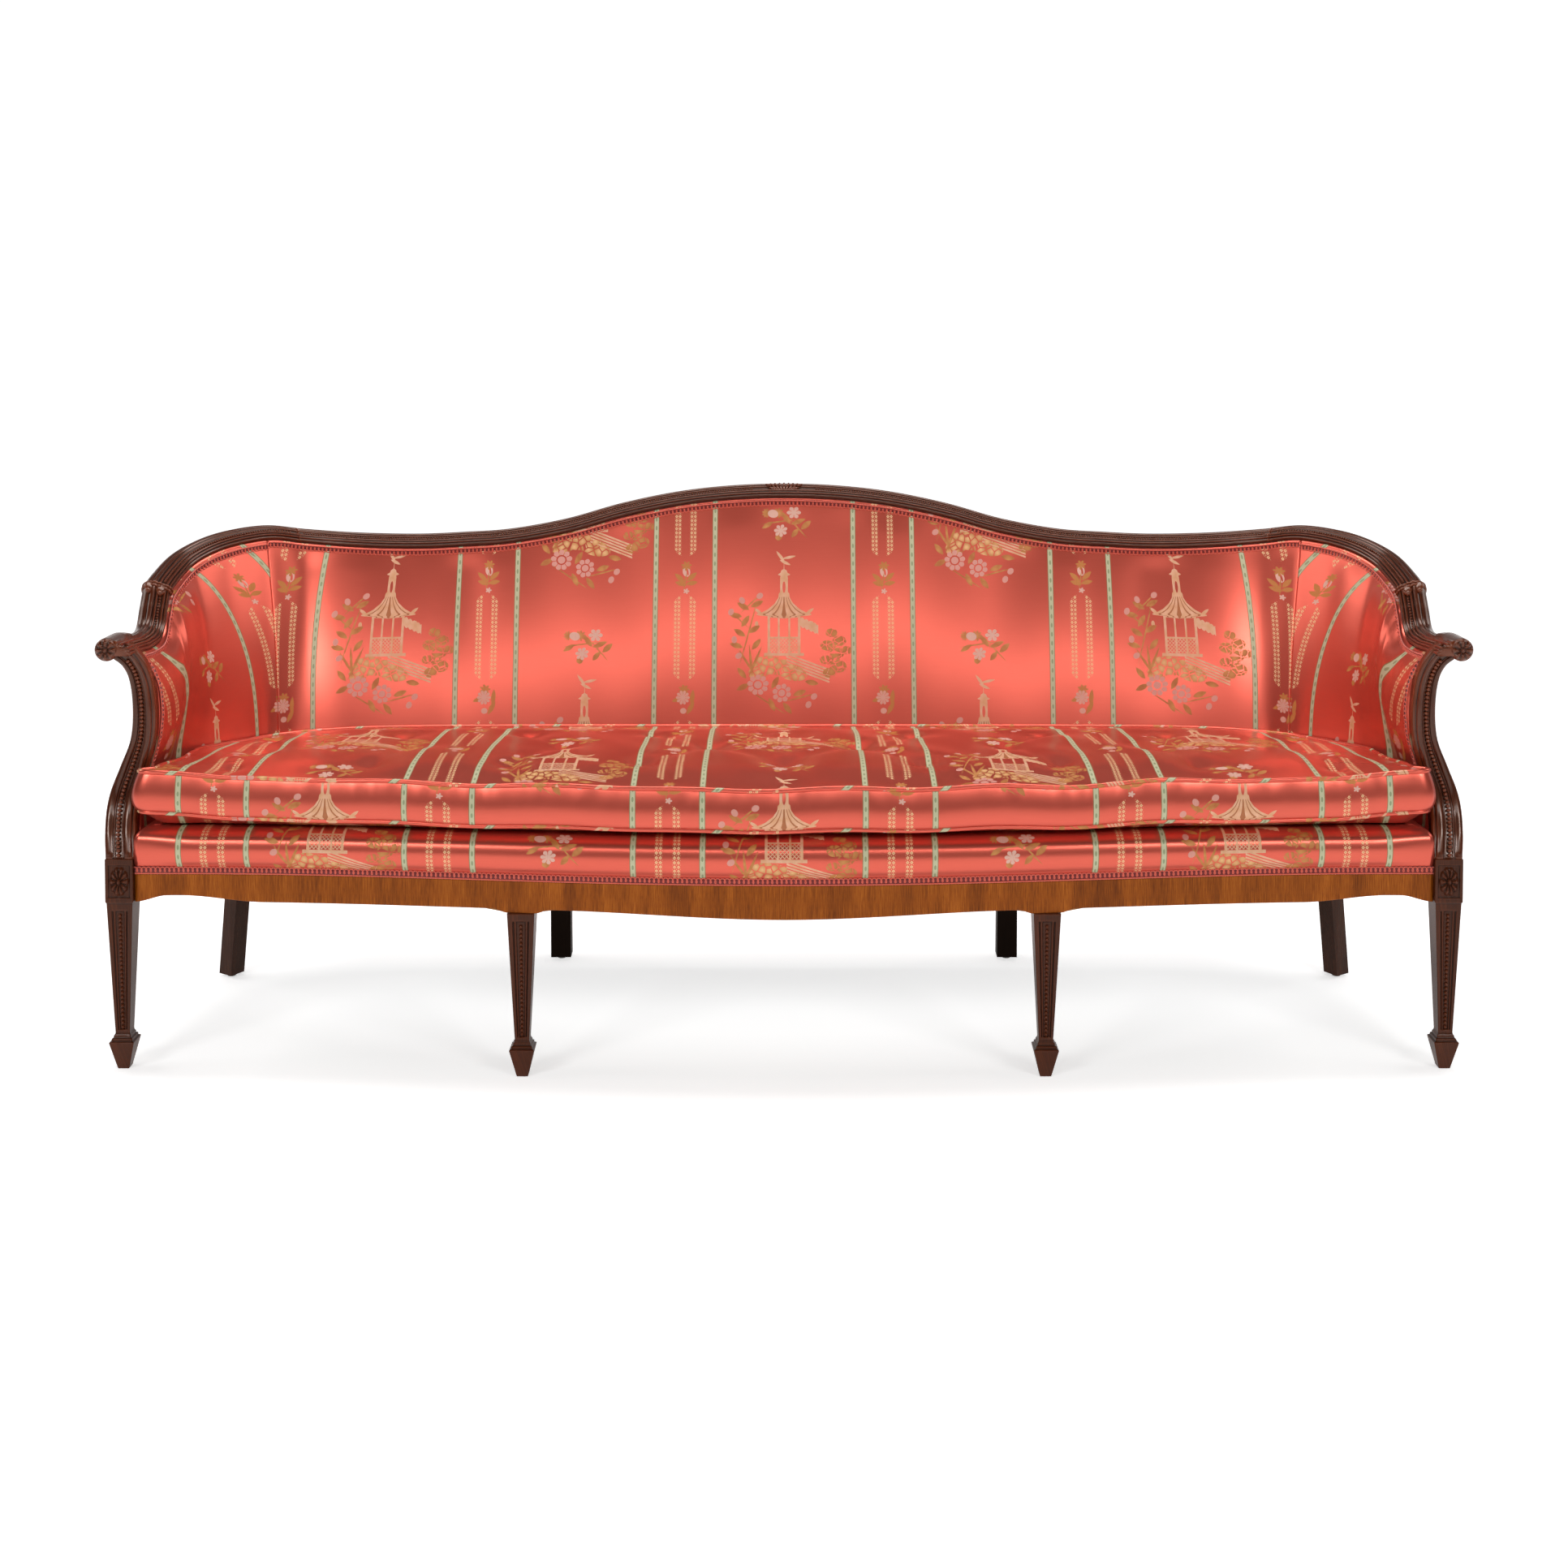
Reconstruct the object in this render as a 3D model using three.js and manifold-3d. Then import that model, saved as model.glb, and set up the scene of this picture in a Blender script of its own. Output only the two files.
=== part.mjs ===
// A camelback sofa with a mahogany show frame, eight legs and a loose seat cushion.
// Millimetres, +Z up. X runs along the sofa, and its front faces -Y.
// The origin is on the floor, under the middle of the whole sofa.
import * as THREE from "three";
import { mergeVertices } from "three/addons/utils/BufferGeometryUtils.js";
import Module from "manifold-3d";

const wasm = await Module();
wasm.setup();

// Driving dimensions of the whole sofa
const crestHalfWidth = 1066; // middle of the sofa to the outer edge of an arm rail
const crestTop = 850; // floor to the top of the hump
const armTop = 664; // floor to the top of an arm
const frontReach = 314; // middle of the frame's depth to the front of the outer legs
const crestReach = 359; // the same to the back edge of the crest
const rearRailReach = 234; // the same to the back of the rear rail
const railSetback = 22; // how far the outer face of a side rail lies inside that edge
const railHalfWidth = crestHalfWidth - railSetback;
const railTop = 307; // floor to the top of the seat rails
const fit = 0.3; // gap between pieces that touch or are glued
const ease = 0.95; // looser gap where a curved piece meets another
const overrun = 20; // how far a cutting shape runs past what it cuts

// Crest and arm rails
const railDepth = 42; // front to back of the crest's section
const railHeight = 23;
const scrollRadius = 18;
const scrollLength = 60;
const scrollTail = 50;
const knotLap = fit / 2; // each rail ends this far short of the joint

// Back and arm walls: from the inside cloth to the outside cloth
const wallFoot = 66; // thickness of the back where it stands on the rail
const armFoot = 43; // the same of an arm
const backBelly = 14; // how far the stuffing swells at mid height
const armSway = 28; // how far the arm's S curve swings in
const coverThickness = 2.6;

// Seat rails
const railThickness = 30;
const railUnder = 263; // floor to the lower edge of the rails
const frontRailSetback = 10; // how far the front rail's ends lie behind the outer legs' faces
const frontRailEnd = frontReach - frontRailSetback;
const frontBow = 63; // how far the front rail swells forward in the middle
const bowMargin = 87.5; // middle of an outer leg in to where the front rail starts to swell
const facingThickness = 3;
const archRise = 10; // how far the lower edge lifts beside the outer legs
const bracketDrop = 6; // how far it drops to each inner leg
const bracketReach = 24;
const bellyDrop = 9; // how far it drops in the middle
const tenonLength = 12;
const tenonThickness = 10;
const tenonHeight = 28;

// Front legs
const blockSize = 43;
const blockTop = 332;
const legTop = 263; // floor to the foot of the block
const blockStep = 2; // height of the cove under the block
const legTopSize = 42;
const legFootSize = 21;
const collarTop = 58;
const collarSize = 27;
const collarFoot = 47;
const spadeTop = 43;
const spadeSize = 38;
const spadeFootSize = 18;
const blockProud = 5; // how far the outer legs stand out beside the side rails
const outerLegX = railHalfWidth + blockProud - blockSize / 2;
const bowReach = outerLegX - bowMargin; // half of the width over which the front rail swells
const innerLegX = 403;
const innerLegTop = 257;
const innerStubSize = 16;
const innerStubLength = 30;

// Arm supports
const supportDepth = 38;
const supportWidth = 43;
const supportTop = 652;
const supportSwing = 37; // how far the S curve swings sideways
const supportSweep = 40; // how far it sweeps back from the leg's face
const supportEdge = 5; // chamfer along its front edges

// Rear legs
const postWidth = 36;
const innerFootWidth = 36;
const innerFootDepth = 33;
const innerFootSetback = 10; // rear rail's outer face in to the middle of the foot
const innerFootReach = rearRailReach - innerFootSetback;
const outerFootSize = 30;
const outerFootInset = 51.5; // middle of an outer front leg in to the foot of an outer rear leg
const outerFootX = outerLegX - outerFootInset;
const outerFootSetback = 106; // the rear rail's outer face forward to that foot
const outerFootY = rearRailReach - outerFootSetback;
const glideHeight = 5;
const glideRadius = 9;

// Seat foundation and cushion
const webThickness = 1.6;
const webWidth = 50;
const braceWidth = 40;
const braceHeight = 30;
const braceTop = 300;
const cornerReach = 80;
const cornerHeight = 30;
const clothThickness = 1;
const dustCoverZ = 268;
const rollTop = 378; // floor to the top of the seat's border roll
const deckRear = 350; // floor to the deck at the back
const rollBulge = 13; // how far the roll swells in front of the rail
const rollRound = 34; // plan distance over which its top rounds off
const deckGap = 5; // between the deck and the inside of the back and arms
const cushionSetback = 11; // how far the cushion's front ends lie behind the outer legs' faces
const cushionFrontEnd = frontReach - cushionSetback;
const cushionBow = 72;
const cushionBowMargin = 67.5; // middle of an outer leg in to where the cushion starts to swell
const cushionBowReach = outerLegX - cushionBowMargin;
const cushionInset = 48.5; // middle of an outer leg in to the cushion's side
const cushionHalfWidth = outerLegX - cushionInset;
const cushionEar = 19; // how far the front corners spread in front of the arm supports
const earDepth = 20;
const cushionLowWelt = 393; // floor to the lower welt at the front
const cushionHighWelt = 456; // floor to the upper welt at the front
const cushionRearDrop = 24; // how much lower the cushion lies at the back
const cushionCrown = 17; // swell of its top above the welt
const cushionBulge = 9; // swell of its sides between the welts
const cushionCornerLift = 13; // how far the front corners turn up
const cushionGap = 7; // between the cushion and the inside of the back and arms
const tuftDepth = 9;
const tuftReach = 62; // how far round a tuft the top is drawn down
const braidWidth = 12;
const braidThickness = 2.2;
const rosetteThickness = 5;
const scrollRosetteRadius = 17;
const blockRosetteWidth = 28;
const blockRosetteHeight = 36;
const blockRosetteZ = 297;

// Finishes
const finish = (color, roughness, metalness = 0) =>
  new THREE.MeshStandardMaterial({ color, roughness, metalness });
const showWood = finish(0x3a1a12, 0.22);
const facingWood = finish(0x8a4a1e, 0.3);
const frameWood = finish(0xb08a5a, 0.75);
const satin = finish(0xc4443c, 0.42);
const braid = finish(0xb8402e, 0.7);
const webbing = finish(0xb59a6a, 0.9);
const cambric = finish(0x151515, 0.95);
const steel = finish(0x8a8a88, 0.35, 0.9);

// Every piece stands in one group, which is moved at the end so that the origin lies under it.
const sofa = new THREE.Group();
const standing = new THREE.Group();
sofa.add(standing);

function addPiece(name, geometry, material, place = [0, 0, 0], turn = 0) {
  const mesh = new THREE.Mesh(geometry, material.clone());
  mesh.name = name;
  mesh.position.set(...place);
  mesh.rotation.z = turn;
  standing.add(mesh);
  return mesh;
}

const { lerp, smoothstep } = THREE.MathUtils;
const vector = (x, y, z) => new THREE.Vector3(x, y, z);

// Closed skins

// The signed volume of an indexed skin says which way its faces point.
function signedVolume(points, faces) {
  let volume = 0;
  for (let i = 0; i < faces.length; i += 3) {
    const [a, b, c] = [points[faces[i]], points[faces[i + 1]], points[faces[i + 2]]];
    volume += a.dot(b.clone().cross(c)) / 6;
  }
  return volume;
}

function skin(points, faces) {
  const outward = signedVolume(points, faces) > 0;
  const index = [];
  for (let i = 0; i < faces.length; i += 3) {
    index.push(faces[i], faces[outward ? i + 1 : i + 2], faces[outward ? i + 2 : i + 1]);
  }
  const geometry = new THREE.BufferGeometry().setFromPoints(points);
  geometry.setIndex(index);
  geometry.computeVertexNormals();
  return geometry;
}

// Fills a ring of points with triangles that turn the same way as the ring.
function fillRing(ring) {
  const normal = vector(0, 0, 0);
  ring.forEach((point, i) => normal.add(point.clone().cross(ring[(i + 1) % ring.length])));
  normal.normalize();
  const across = ring[1].clone().sub(ring[0]).normalize();
  const up = normal.clone().cross(across);
  const flat = ring.map((point) => new THREE.Vector2(point.dot(across), point.dot(up)));
  return THREE.ShapeUtils.triangulateShape(flat, []).map(([i, j, k]) => {
    const turn = flat[j].clone().sub(flat[i]).cross(flat[k].clone().sub(flat[i]));
    return turn > 0 ? [i, j, k] : [i, k, j];
  });
}

// Joins rings of equal count into a closed body.
function loft(rings) {
  const count = rings[0].length;
  const faces = [];
  for (let i = 0; i + 1 < rings.length; i++) {
    for (let j = 0; j < count; j++) {
      const a = i * count + j;
      const b = i * count + ((j + 1) % count);
      faces.push(a, b, b + count, a, b + count, a + count);
    }
  }
  const last = (rings.length - 1) * count;
  for (const [i, j, k] of fillRing(rings[0])) faces.push(i, k, j);
  for (const [i, j, k] of fillRing(rings.at(-1))) faces.push(last + i, last + j, last + k);
  return skin(rings.flat(), faces);
}

function mirrored(geometry) {
  const copy = geometry.clone().scale(-1, 1, 1);
  const index = Array.from(copy.index.array);
  for (let i = 0; i < index.length; i += 3) {
    [index[i + 1], index[i + 2]] = [index[i + 2], index[i + 1]];
  }
  copy.setIndex(index);
  return copy;
}

// Joining and cutting

function solidOf(geometry) {
  const bare = geometry.clone();
  bare.deleteAttribute("normal");
  bare.deleteAttribute("uv");
  const merged = mergeVertices(bare);
  return new wasm.Manifold(
    new wasm.Mesh({
      numProp: 3,
      vertProperties: merged.attributes.position.array,
      triVerts: new Uint32Array(merged.index.array),
    }),
  );
}

function geometryOf(solid) {
  const mesh = solid.getMesh();
  const geometry = new THREE.BufferGeometry();
  geometry.setAttribute("position", new THREE.BufferAttribute(mesh.vertProperties, mesh.numProp));
  geometry.setIndex(new THREE.BufferAttribute(mesh.triVerts, 1));
  geometry.computeVertexNormals();
  return geometry;
}

const joined = (...parts) =>
  geometryOf(parts.map(solidOf).reduce((whole, part) => whole.add(part)));
const cut = (body, ...tools) =>
  geometryOf(tools.map(solidOf).reduce((left, tool) => left.subtract(tool), solidOf(body)));
const common = (a, b) => geometryOf(solidOf(a).intersect(solidOf(b)));

// A straight square bar between two points. side is the direction of its width.
function bar(from, to, side, width, height, grow = 0) {
  const along = to.clone().sub(from);
  const length = along.length();
  along.normalize();
  const across = side.clone().addScaledVector(along, -side.dot(along)).normalize();
  const up = along.clone().cross(across);
  const box = new THREE.BoxGeometry(width + 2 * grow, height + 2 * grow, length + 2 * grow);
  const middle = from.clone().add(to).multiplyScalar(0.5);
  return box.applyMatrix4(new THREE.Matrix4().makeBasis(across, up, along).setPosition(middle));
}

const block = (low, high) =>
  new THREE.BoxGeometry(high.x - low.x, high.y - low.y, high.z - low.z).translate(
    (low.x + high.x) / 2,
    (low.y + high.y) / 2,
    (low.z + high.z) / 2,
  );

// The way round the sofa

// Stations from the middle of the back to the front of an arm. The first three columns are shares
// for the outer top edge of the crest: of its half width, of the way from the front to its back
// edge, and of the rise from arm to hump. The last two are shares for the rails' outer face: of
// the rails' half width, and of the way from the front to the rear rail.
const stationShares = [
  [0, 1, 1, 0, 1],
  [0.094, 0.999, 0.981, 0.093, 1],
  [0.183, 0.995, 0.925, 0.182, 1],
  [0.281, 0.99, 0.812, 0.28, 0.999],
  [0.379, 0.986, 0.656, 0.377, 0.998],
  [0.48, 0.981, 0.554, 0.479, 0.995],
  [0.553, 0.977, 0.527, 0.553, 0.993],
  [0.628, 0.97, 0.511, 0.627, 0.987],
  [0.735, 0.945, 0.532, 0.736, 0.964],
  [0.829, 0.881, 0.597, 0.827, 0.912],
  [0.882, 0.816, 0.656, 0.875, 0.861],
  [0.919, 0.749, 0.656, 0.908, 0.807],
  [0.957, 0.657, 0.618, 0.941, 0.71],
  [0.99, 0.556, 0.516, 0.966, 0.6],
  [1, 0.462, 0.409, 0.979, 0.504],
  [1.001, 0.385, 0.312, 0.987, 0.423],
  [1, 0.346, 0.151, 0.99, 0.38],
  [0.998, 0.306, -0.011, 0.993, 0.336],
  [0.995, 0.229, -0.038, 0.996, 0.254],
  [0.992, 0.125, -0.011, 0.999, 0.135],
  [0.987, 0.019, 0.022, 1, 0.024],
];
const frontStation = stationShares.length - 1;

// Places on the way round, as shares of the stations from the middle to the front
const seamShare = 0.515; // where the inside back meets an inside arm
const crestJointShare = 0.46; // where the crest rail meets its corner
const knotShare = 0.75; // where the corner laps over the arm rail
const armBlendShare = 0.05; // how far past the seam and the knot the arm's shape takes over
const outerPostShare = 0.57; // where the outer rear legs stand
const seamStation = seamShare * frontStation;
const crestJointStation = crestJointShare * frontStation;
const knotStation = knotShare * frontStation;
const outerPostStation = outerPostShare * frontStation;
const blendStations = armBlendShare * frontStation;

const crestPoint = (side, [x, y, z]) =>
  vector(
    side * x * crestHalfWidth,
    lerp(-frontReach, crestReach, y),
    lerp(armTop, crestTop, z),
  );
const footPoint = (side, [, , , x, y]) =>
  vector(side * x * railHalfWidth, lerp(-frontReach, rearRailReach, y), railTop);
const leftStations = stationShares.slice(1).reverse();
const roundCurve = (pointOf) =>
  new THREE.CatmullRomCurve3([
    ...leftStations.map((shares) => pointOf(-1, shares)),
    ...stationShares.map((shares) => pointOf(1, shares)),
  ]);
const crestCurve = roundCurve(crestPoint);
const footCurve = roundCurve(footPoint);
const along = (station) => (station + frontStation) / (2 * frontStation);

// The level direction into the sofa, square to a tangent.
const inwardOf = (tangent) => vector(tangent.y, -tangent.x, 0).normalize();

function crestFrame(station) {
  const tangent = crestCurve.getTangent(along(station));
  const inward = inwardOf(tangent);
  const up = inward.clone().cross(tangent).normalize();
  return { edge: crestCurve.getPoint(along(station)), inward, up };
}

function footFrame(station) {
  const inward = inwardOf(footCurve.getTangent(along(station)));
  return { edge: footCurve.getPoint(along(station)), inward };
}

// Finds the station, between two, where a value that rises or falls reaches a target.
function findStation(valueAt, target, low, high) {
  const rising = valueAt(high) > valueAt(low);
  for (let i = 0; i < 40; i++) {
    const middle = (low + high) / 2;
    if (valueAt(middle) > target === rising) high = middle;
    else low = middle;
  }
  return low;
}

// The station a given distance further along a curve.
function stationPast(curve, station, distance) {
  const start = curve.getPoint(along(station));
  const aim = station + Math.sign(distance);
  return findStation(
    (trial) => curve.getPoint(along(trial)).distanceTo(start),
    Math.abs(distance),
    station,
    THREE.MathUtils.clamp(aim, -frontStation, frontStation),
  );
}

// 0 along the back and 1 along the arms
const armShare = (station) =>
  smoothstep(Math.abs(station), seamStation + blendStations, knotStation + blendStations);

// The S curve of an arm from rail to arm top, as shares of its sway. Rows: height, outward swing.
const swayShares = [
  [0, 0],
  [0.16, 0.28],
  [0.29, 0.32],
  [0.36, 0.2],
  [0.48, -0.32],
  [0.6, -0.8],
  [0.72, -1],
  [0.83, -0.95],
  [0.92, -0.66],
  [1, 0],
];

function fromTable(rows, at, column = 1) {
  const next = Math.max(1, rows.findIndex((row) => row[0] >= at));
  const [a, b] = [rows[next - 1], rows[next]];
  return lerp(a[column], b[column], smoothstep(at, a[0], b[0]) * 0.5 + (at - a[0]) / (b[0] - a[0]) / 2);
}

// A place in the walls of the back and arms: a station, a share of the height, a share of the
// thickness from the inside to the outside, and a distance further out.
const wallBase = railTop + webThickness + 3 * fit;
function wallPoint(station, height, thickness, further = 0) {
  const { edge, inward, up } = crestFrame(station);
  const top = edge.clone().addScaledVector(up, -railHeight - ease);
  const foot = footFrame(station);
  const footWidth = lerp(wallFoot, armFoot, armShare(station));
  const low = foot.edge.clone().setZ(wallBase);
  const inside = low
    .clone()
    .addScaledVector(foot.inward, footWidth)
    .lerp(top.clone().addScaledVector(inward, railDepth), height);
  const outside = low.lerp(top, height);
  const sway = armSway * armShare(station) * fromTable(swayShares, height);
  const belly = backBelly * (1 - armShare(station)) * Math.sin(Math.PI * height);
  inside.addScaledVector(inward, belly - sway);
  outside.addScaledVector(inward, -sway);
  const depth = outside.clone().sub(inside);
  const reach = depth.length();
  return inside.addScaledVector(depth.normalize(), reach * thickness + further);
}

// A place in the seat rails: a station, a height and a distance in from the outer face.
function railPoint(station, height, depth) {
  const { edge, inward } = footFrame(station);
  return edge.clone().addScaledVector(inward, depth).setZ(height);
}

// A curved slab in the coordinates of a place function, with a row of points at each height.
function slab(place, [first, last], heights, [near, far], steps) {
  const rings = [];
  for (let i = 0; i <= steps; i++) {
    const station = lerp(first, last, i / steps);
    rings.push([
      ...heights.map((height) => place(station, height, near)),
      ...heights.toReversed().map((height) => place(station, height, far)),
    ]);
  }
  return loft(rings);
}

// Crest and arm rails

// The section of the rails: shares of the depth from the outer edge in, and of the height.
const railSectionShares = [
  [0, 0],
  [-0.03, 0.35],
  [0.03, 0.75],
  [0.2, 0.98],
  [0.42, 1],
  [0.62, 0.86],
  [0.84, 0.66],
  [0.98, 0.42],
  [1.02, 0.2],
  [1, 0],
];

const [sectionMiddleShare, sectionFootShare] = [0.5, 0.1]; // of the depth, and of the height
function railRing(station, grow = 0) {
  const { edge, inward, up } = crestFrame(station);
  return railSectionShares.map(([depth, height]) =>
    edge
      .clone()
      .addScaledVector(inward, depth * railDepth + Math.sign(depth - sectionMiddleShare) * grow)
      .addScaledVector(up, (height - 1) * railHeight + Math.sign(height - sectionFootShare) * grow),
  );
}

function topRail(first, last, steps, grow = 0) {
  const rings = [];
  for (let i = 0; i <= steps; i++) rings.push(railRing(lerp(first, last, i / steps), grow));
  return loft(rings);
}

// The scroll at the front of an arm: a roll that fades into the rail.
const armFront = crestCurve.getPoint(1);
const scrollCentre = armFront
  .clone()
  .sub(vector(scrollRadius / 4, 0, (scrollRadius * 3) / 4));
const scrollSides = 20;
function scroll(grow = 0) {
  const radius = scrollRadius + grow;
  const profile = [
    [0, 0],
    [radius, 0],
    [radius, scrollLength],
    [radius / 2, scrollLength + scrollTail],
    [0, scrollLength + scrollTail],
  ];
  return new THREE.LatheGeometry(profile.map(([r, y]) => new THREE.Vector2(r, y)), scrollSides)
    .translate(scrollCentre.x, scrollCentre.y - grow, scrollCentre.z);
}
const lapPast = (station, way) => stationPast(crestCurve, station, way * knotLap);
const armRailSteps = 13;
const cornerRailSteps = 13;
const crestRailSteps = 44;
const armRailFront = block(
  vector(armFront.x - 2 * railDepth, armFront.y - overrun, armTop - 2 * railDepth),
  vector(armFront.x + railDepth, armFront.y, armTop + railDepth),
);
const armRail = cut(
  joined(topRail(lapPast(knotStation, 1), frontStation, armRailSteps), scroll()),
  armRailFront,
);
const armRailTool = joined(
  topRail(knotStation, frontStation, armRailSteps, fit),
  scroll(fit),
);
const cornerRail = topRail(
  lapPast(crestJointStation, 1),
  lapPast(knotStation, -1),
  cornerRailSteps,
);
const crestRail = topRail(
  lapPast(-crestJointStation, 1),
  lapPast(crestJointStation, -1),
  crestRailSteps,
);

// Arm supports

// The S curve of a support. Rows: share of its height, swing sideways, sweep back, width.
const supportShares = [
  [0, 0, 0, 1],
  [0.104, 0.12, 0.3, 1],
  [0.209, 0.19, 0.7, 1],
  [0.294, 0.11, 0.92, 0.97],
  [0.42, -0.26, 1, 0.9],
  [0.547, -0.61, 1, 0.77],
  [0.674, -0.7, 1, 0.72],
  [0.816, -0.6, 1, 0.68],
  [0.9, -0.42, 0.88, 0.66],
  [0.956, -0.16, 0.7, 0.66],
  [1, 0.16, 0.5, 0.66],
];
const supportFoot = blockTop + fit;
const supportHeight = (share) => lerp(supportFoot, supportTop, share);
const supportLine = new THREE.CatmullRomCurve3(
  supportShares.map(([height, swing]) =>
    vector(outerLegX + swing * supportSwing, 0, supportHeight(height)),
  ),
);
const supportSteps = 18;
const supportLeanShare = 0.75; // above this share of its height the section leans with the curve
function supportRing(share) {
  const centre = supportLine.getPoint(share);
  const tangent = supportLine.getTangent(share);
  const lean = smoothstep(share, supportLeanShare, 1) * Math.atan2(tangent.x, tangent.z);
  const across = vector(Math.cos(lean), 0, -Math.sin(lean));
  const row = share * (supportShares.length - 1);
  const low = supportShares[Math.floor(row)];
  const high = supportShares[Math.ceil(row)];
  const width = supportWidth * lerp(low[3], high[3], row - Math.floor(row));
  const front = -frontReach + supportSweep * lerp(low[2], high[2], row - Math.floor(row));
  const at = (side, depth) =>
    centre.clone().addScaledVector(across, side).add(vector(0, front + depth, 0));
  return [
    at(-width / 2, supportEdge),
    at(supportEdge - width / 2, 0),
    at(width / 2 - supportEdge, 0),
    at(width / 2, supportEdge),
    at(width / 2, supportDepth),
    at(-width / 2, supportDepth),
  ];
}
const supportRings = Array.from({ length: supportSteps + 1 }, (_, i) =>
  supportRing(i / supportSteps),
);
const supportStub = (grow) =>
  bar(
    vector(outerLegX, blockSize / 2 - frontReach, blockTop - tenonLength),
    vector(outerLegX, blockSize / 2 - frontReach, blockTop + tenonLength),
    vector(1, 0, 0),
    tenonThickness,
    tenonThickness,
    grow,
  );
// The support ends level with the inner lip of the arm rail over it.
const lipShare = 0.42; // of the height of the rails' section
const lipLevel = armTop - railHeight * (1 - lipShare);
const aboveLip = block(
  vector(outerLegX - 2 * supportWidth, -frontReach - overrun, lipLevel),
  vector(outerLegX + 2 * supportWidth, supportDepth + supportSweep - frontReach + overrun, crestTop),
);
const armSupport = cut(joined(loft(supportRings), supportStub(0)), armRailTool, aboveLip);

// Everything in front of the back faces of the supports, which trims the walls behind them.
function beforeSupports(further) {
  const front = -frontReach - overrun;
  const level = (z, back) => [
    vector(-crestHalfWidth - overrun, front, z),
    vector(crestHalfWidth + overrun, front, z),
    vector(crestHalfWidth + overrun, back + further, z),
    vector(-crestHalfWidth - overrun, back + further, z),
  ];
  const behind = supportRings.map((ring) => level(ring.at(-1).z, ring.at(-1).y));
  return loft([
    level(railUnder - overrun, blockSize - frontReach),
    level(blockTop + fit, blockSize - frontReach),
    ...behind.slice(1),
    level(crestTop, supportRings.at(-1).at(-1).y),
  ]);
}
const trim = beforeSupports(2 * fit);

// Rear legs with their posts

const bottomX = (station) => footCurve.getPoint(along(station)).x;
const innerPostStation = findStation(bottomX, innerLegX, 0, seamStation);
const postSpan = (station) => [
  stationPast(footCurve, station, -postWidth / 2),
  stationPast(footCurve, station, postWidth / 2),
];
const [postNearShare, postFarShare] = [0.5, 0.93]; // of the wall's thickness
const postRise = ease - 2 * fit; // how far a post stands above the padding, up to the crest
const postSteps = 10;

function rearLeg(station, foot) {
  const [first, last] = postSpan(station);
  const corners = (height) => [
    wallPoint(first, height, postNearShare),
    wallPoint(last, height, postNearShare),
    wallPoint(last, height, postFarShare),
    wallPoint(first, height, postFarShare),
  ];
  const rings = [foot];
  const base = corners(0);
  rings.push(base.map((point) => point.clone().setZ(railUnder)));
  for (let i = 0; i <= postSteps; i++) rings.push(corners(i / postSteps));
  for (const point of rings.at(-1)) point.z += postRise;
  return loft(rings);
}

const squareFoot = (centre, width, depth, turn) =>
  [
    [-1, -1],
    [1, -1],
    [1, 1],
    [-1, 1],
  ].map(([x, y]) =>
    vector((x * width) / 2, (y * depth) / 2, 0)
      .applyAxisAngle(vector(0, 0, 1), turn)
      .add(centre),
  );
const outerPostIn = footFrame(outerPostStation).inward;
const outerTurn = Math.atan2(outerPostIn.x, -outerPostIn.y);
const innerPostIn = footFrame(innerPostStation).inward;
const innerPostTurn = Math.atan2(innerPostIn.x, -innerPostIn.y);
const innerFoot = vector(innerLegX, innerFootReach, glideHeight);
const outerFoot = vector(outerFootX, outerFootY, glideHeight);

// Tenons of the rear rails run through the inside of each post.
const rearTenonZ = (railTop + railUnder) / 2;
const rearTenonDepth = wallFoot * (1 - (postNearShare + postFarShare) / 2);
function railTenon(station, way, grow = 0) {
  const edge = stationPast(footCurve, station, (way * postWidth) / 2);
  const into = railPoint(edge, rearTenonZ, rearTenonDepth);
  const beyond = stationPast(footCurve, edge, way * tenonLength);
  const direction = railPoint(beyond, rearTenonZ, rearTenonDepth).sub(into).normalize();
  return bar(
    into.clone().addScaledVector(direction, (-tenonLength * 3) / 4),
    into.clone().addScaledVector(direction, (tenonLength * 3) / 4),
    vector(0, 0, 1),
    tenonHeight,
    tenonThickness,
    grow,
  );
}

const innerLegTenons = [-1, 1].map((way) => railTenon(innerPostStation, way, fit));
const outerLegTenons = [-1, 1].map((way) => railTenon(outerPostStation, way, fit));
const rearInnerLeg = cut(
  rearLeg(innerPostStation, squareFoot(innerFoot, innerFootWidth, innerFootDepth, innerPostTurn)),
  ...innerLegTenons,
);
const rearOuterLeg = cut(
  rearLeg(outerPostStation, squareFoot(outerFoot, outerFootSize, outerFootSize, outerTurn)),
  ...outerLegTenons,
);

// Seat rails

const railSteps = 12;
const rearRailSpan = [wallFoot * (1 - postFarShare), wallFoot * (1 - postNearShare)];
const clearOf = (station, way) =>
  stationPast(footCurve, station, way * (postWidth / 2 + fit));
const rearCentreRail = joined(
  slab(railPoint, [clearOf(-innerPostStation, 1), clearOf(innerPostStation, -1)],
    [railUnder, railTop], rearRailSpan, railSteps),
  railTenon(innerPostStation, -1),
  mirrored(railTenon(innerPostStation, -1)),
);
const rearEndRail = joined(
  slab(railPoint, [clearOf(innerPostStation, 1), clearOf(outerPostStation, -1)],
    [railUnder, railTop], rearRailSpan, railSteps),
  railTenon(innerPostStation, 1),
  railTenon(outerPostStation, -1),
);

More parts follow.
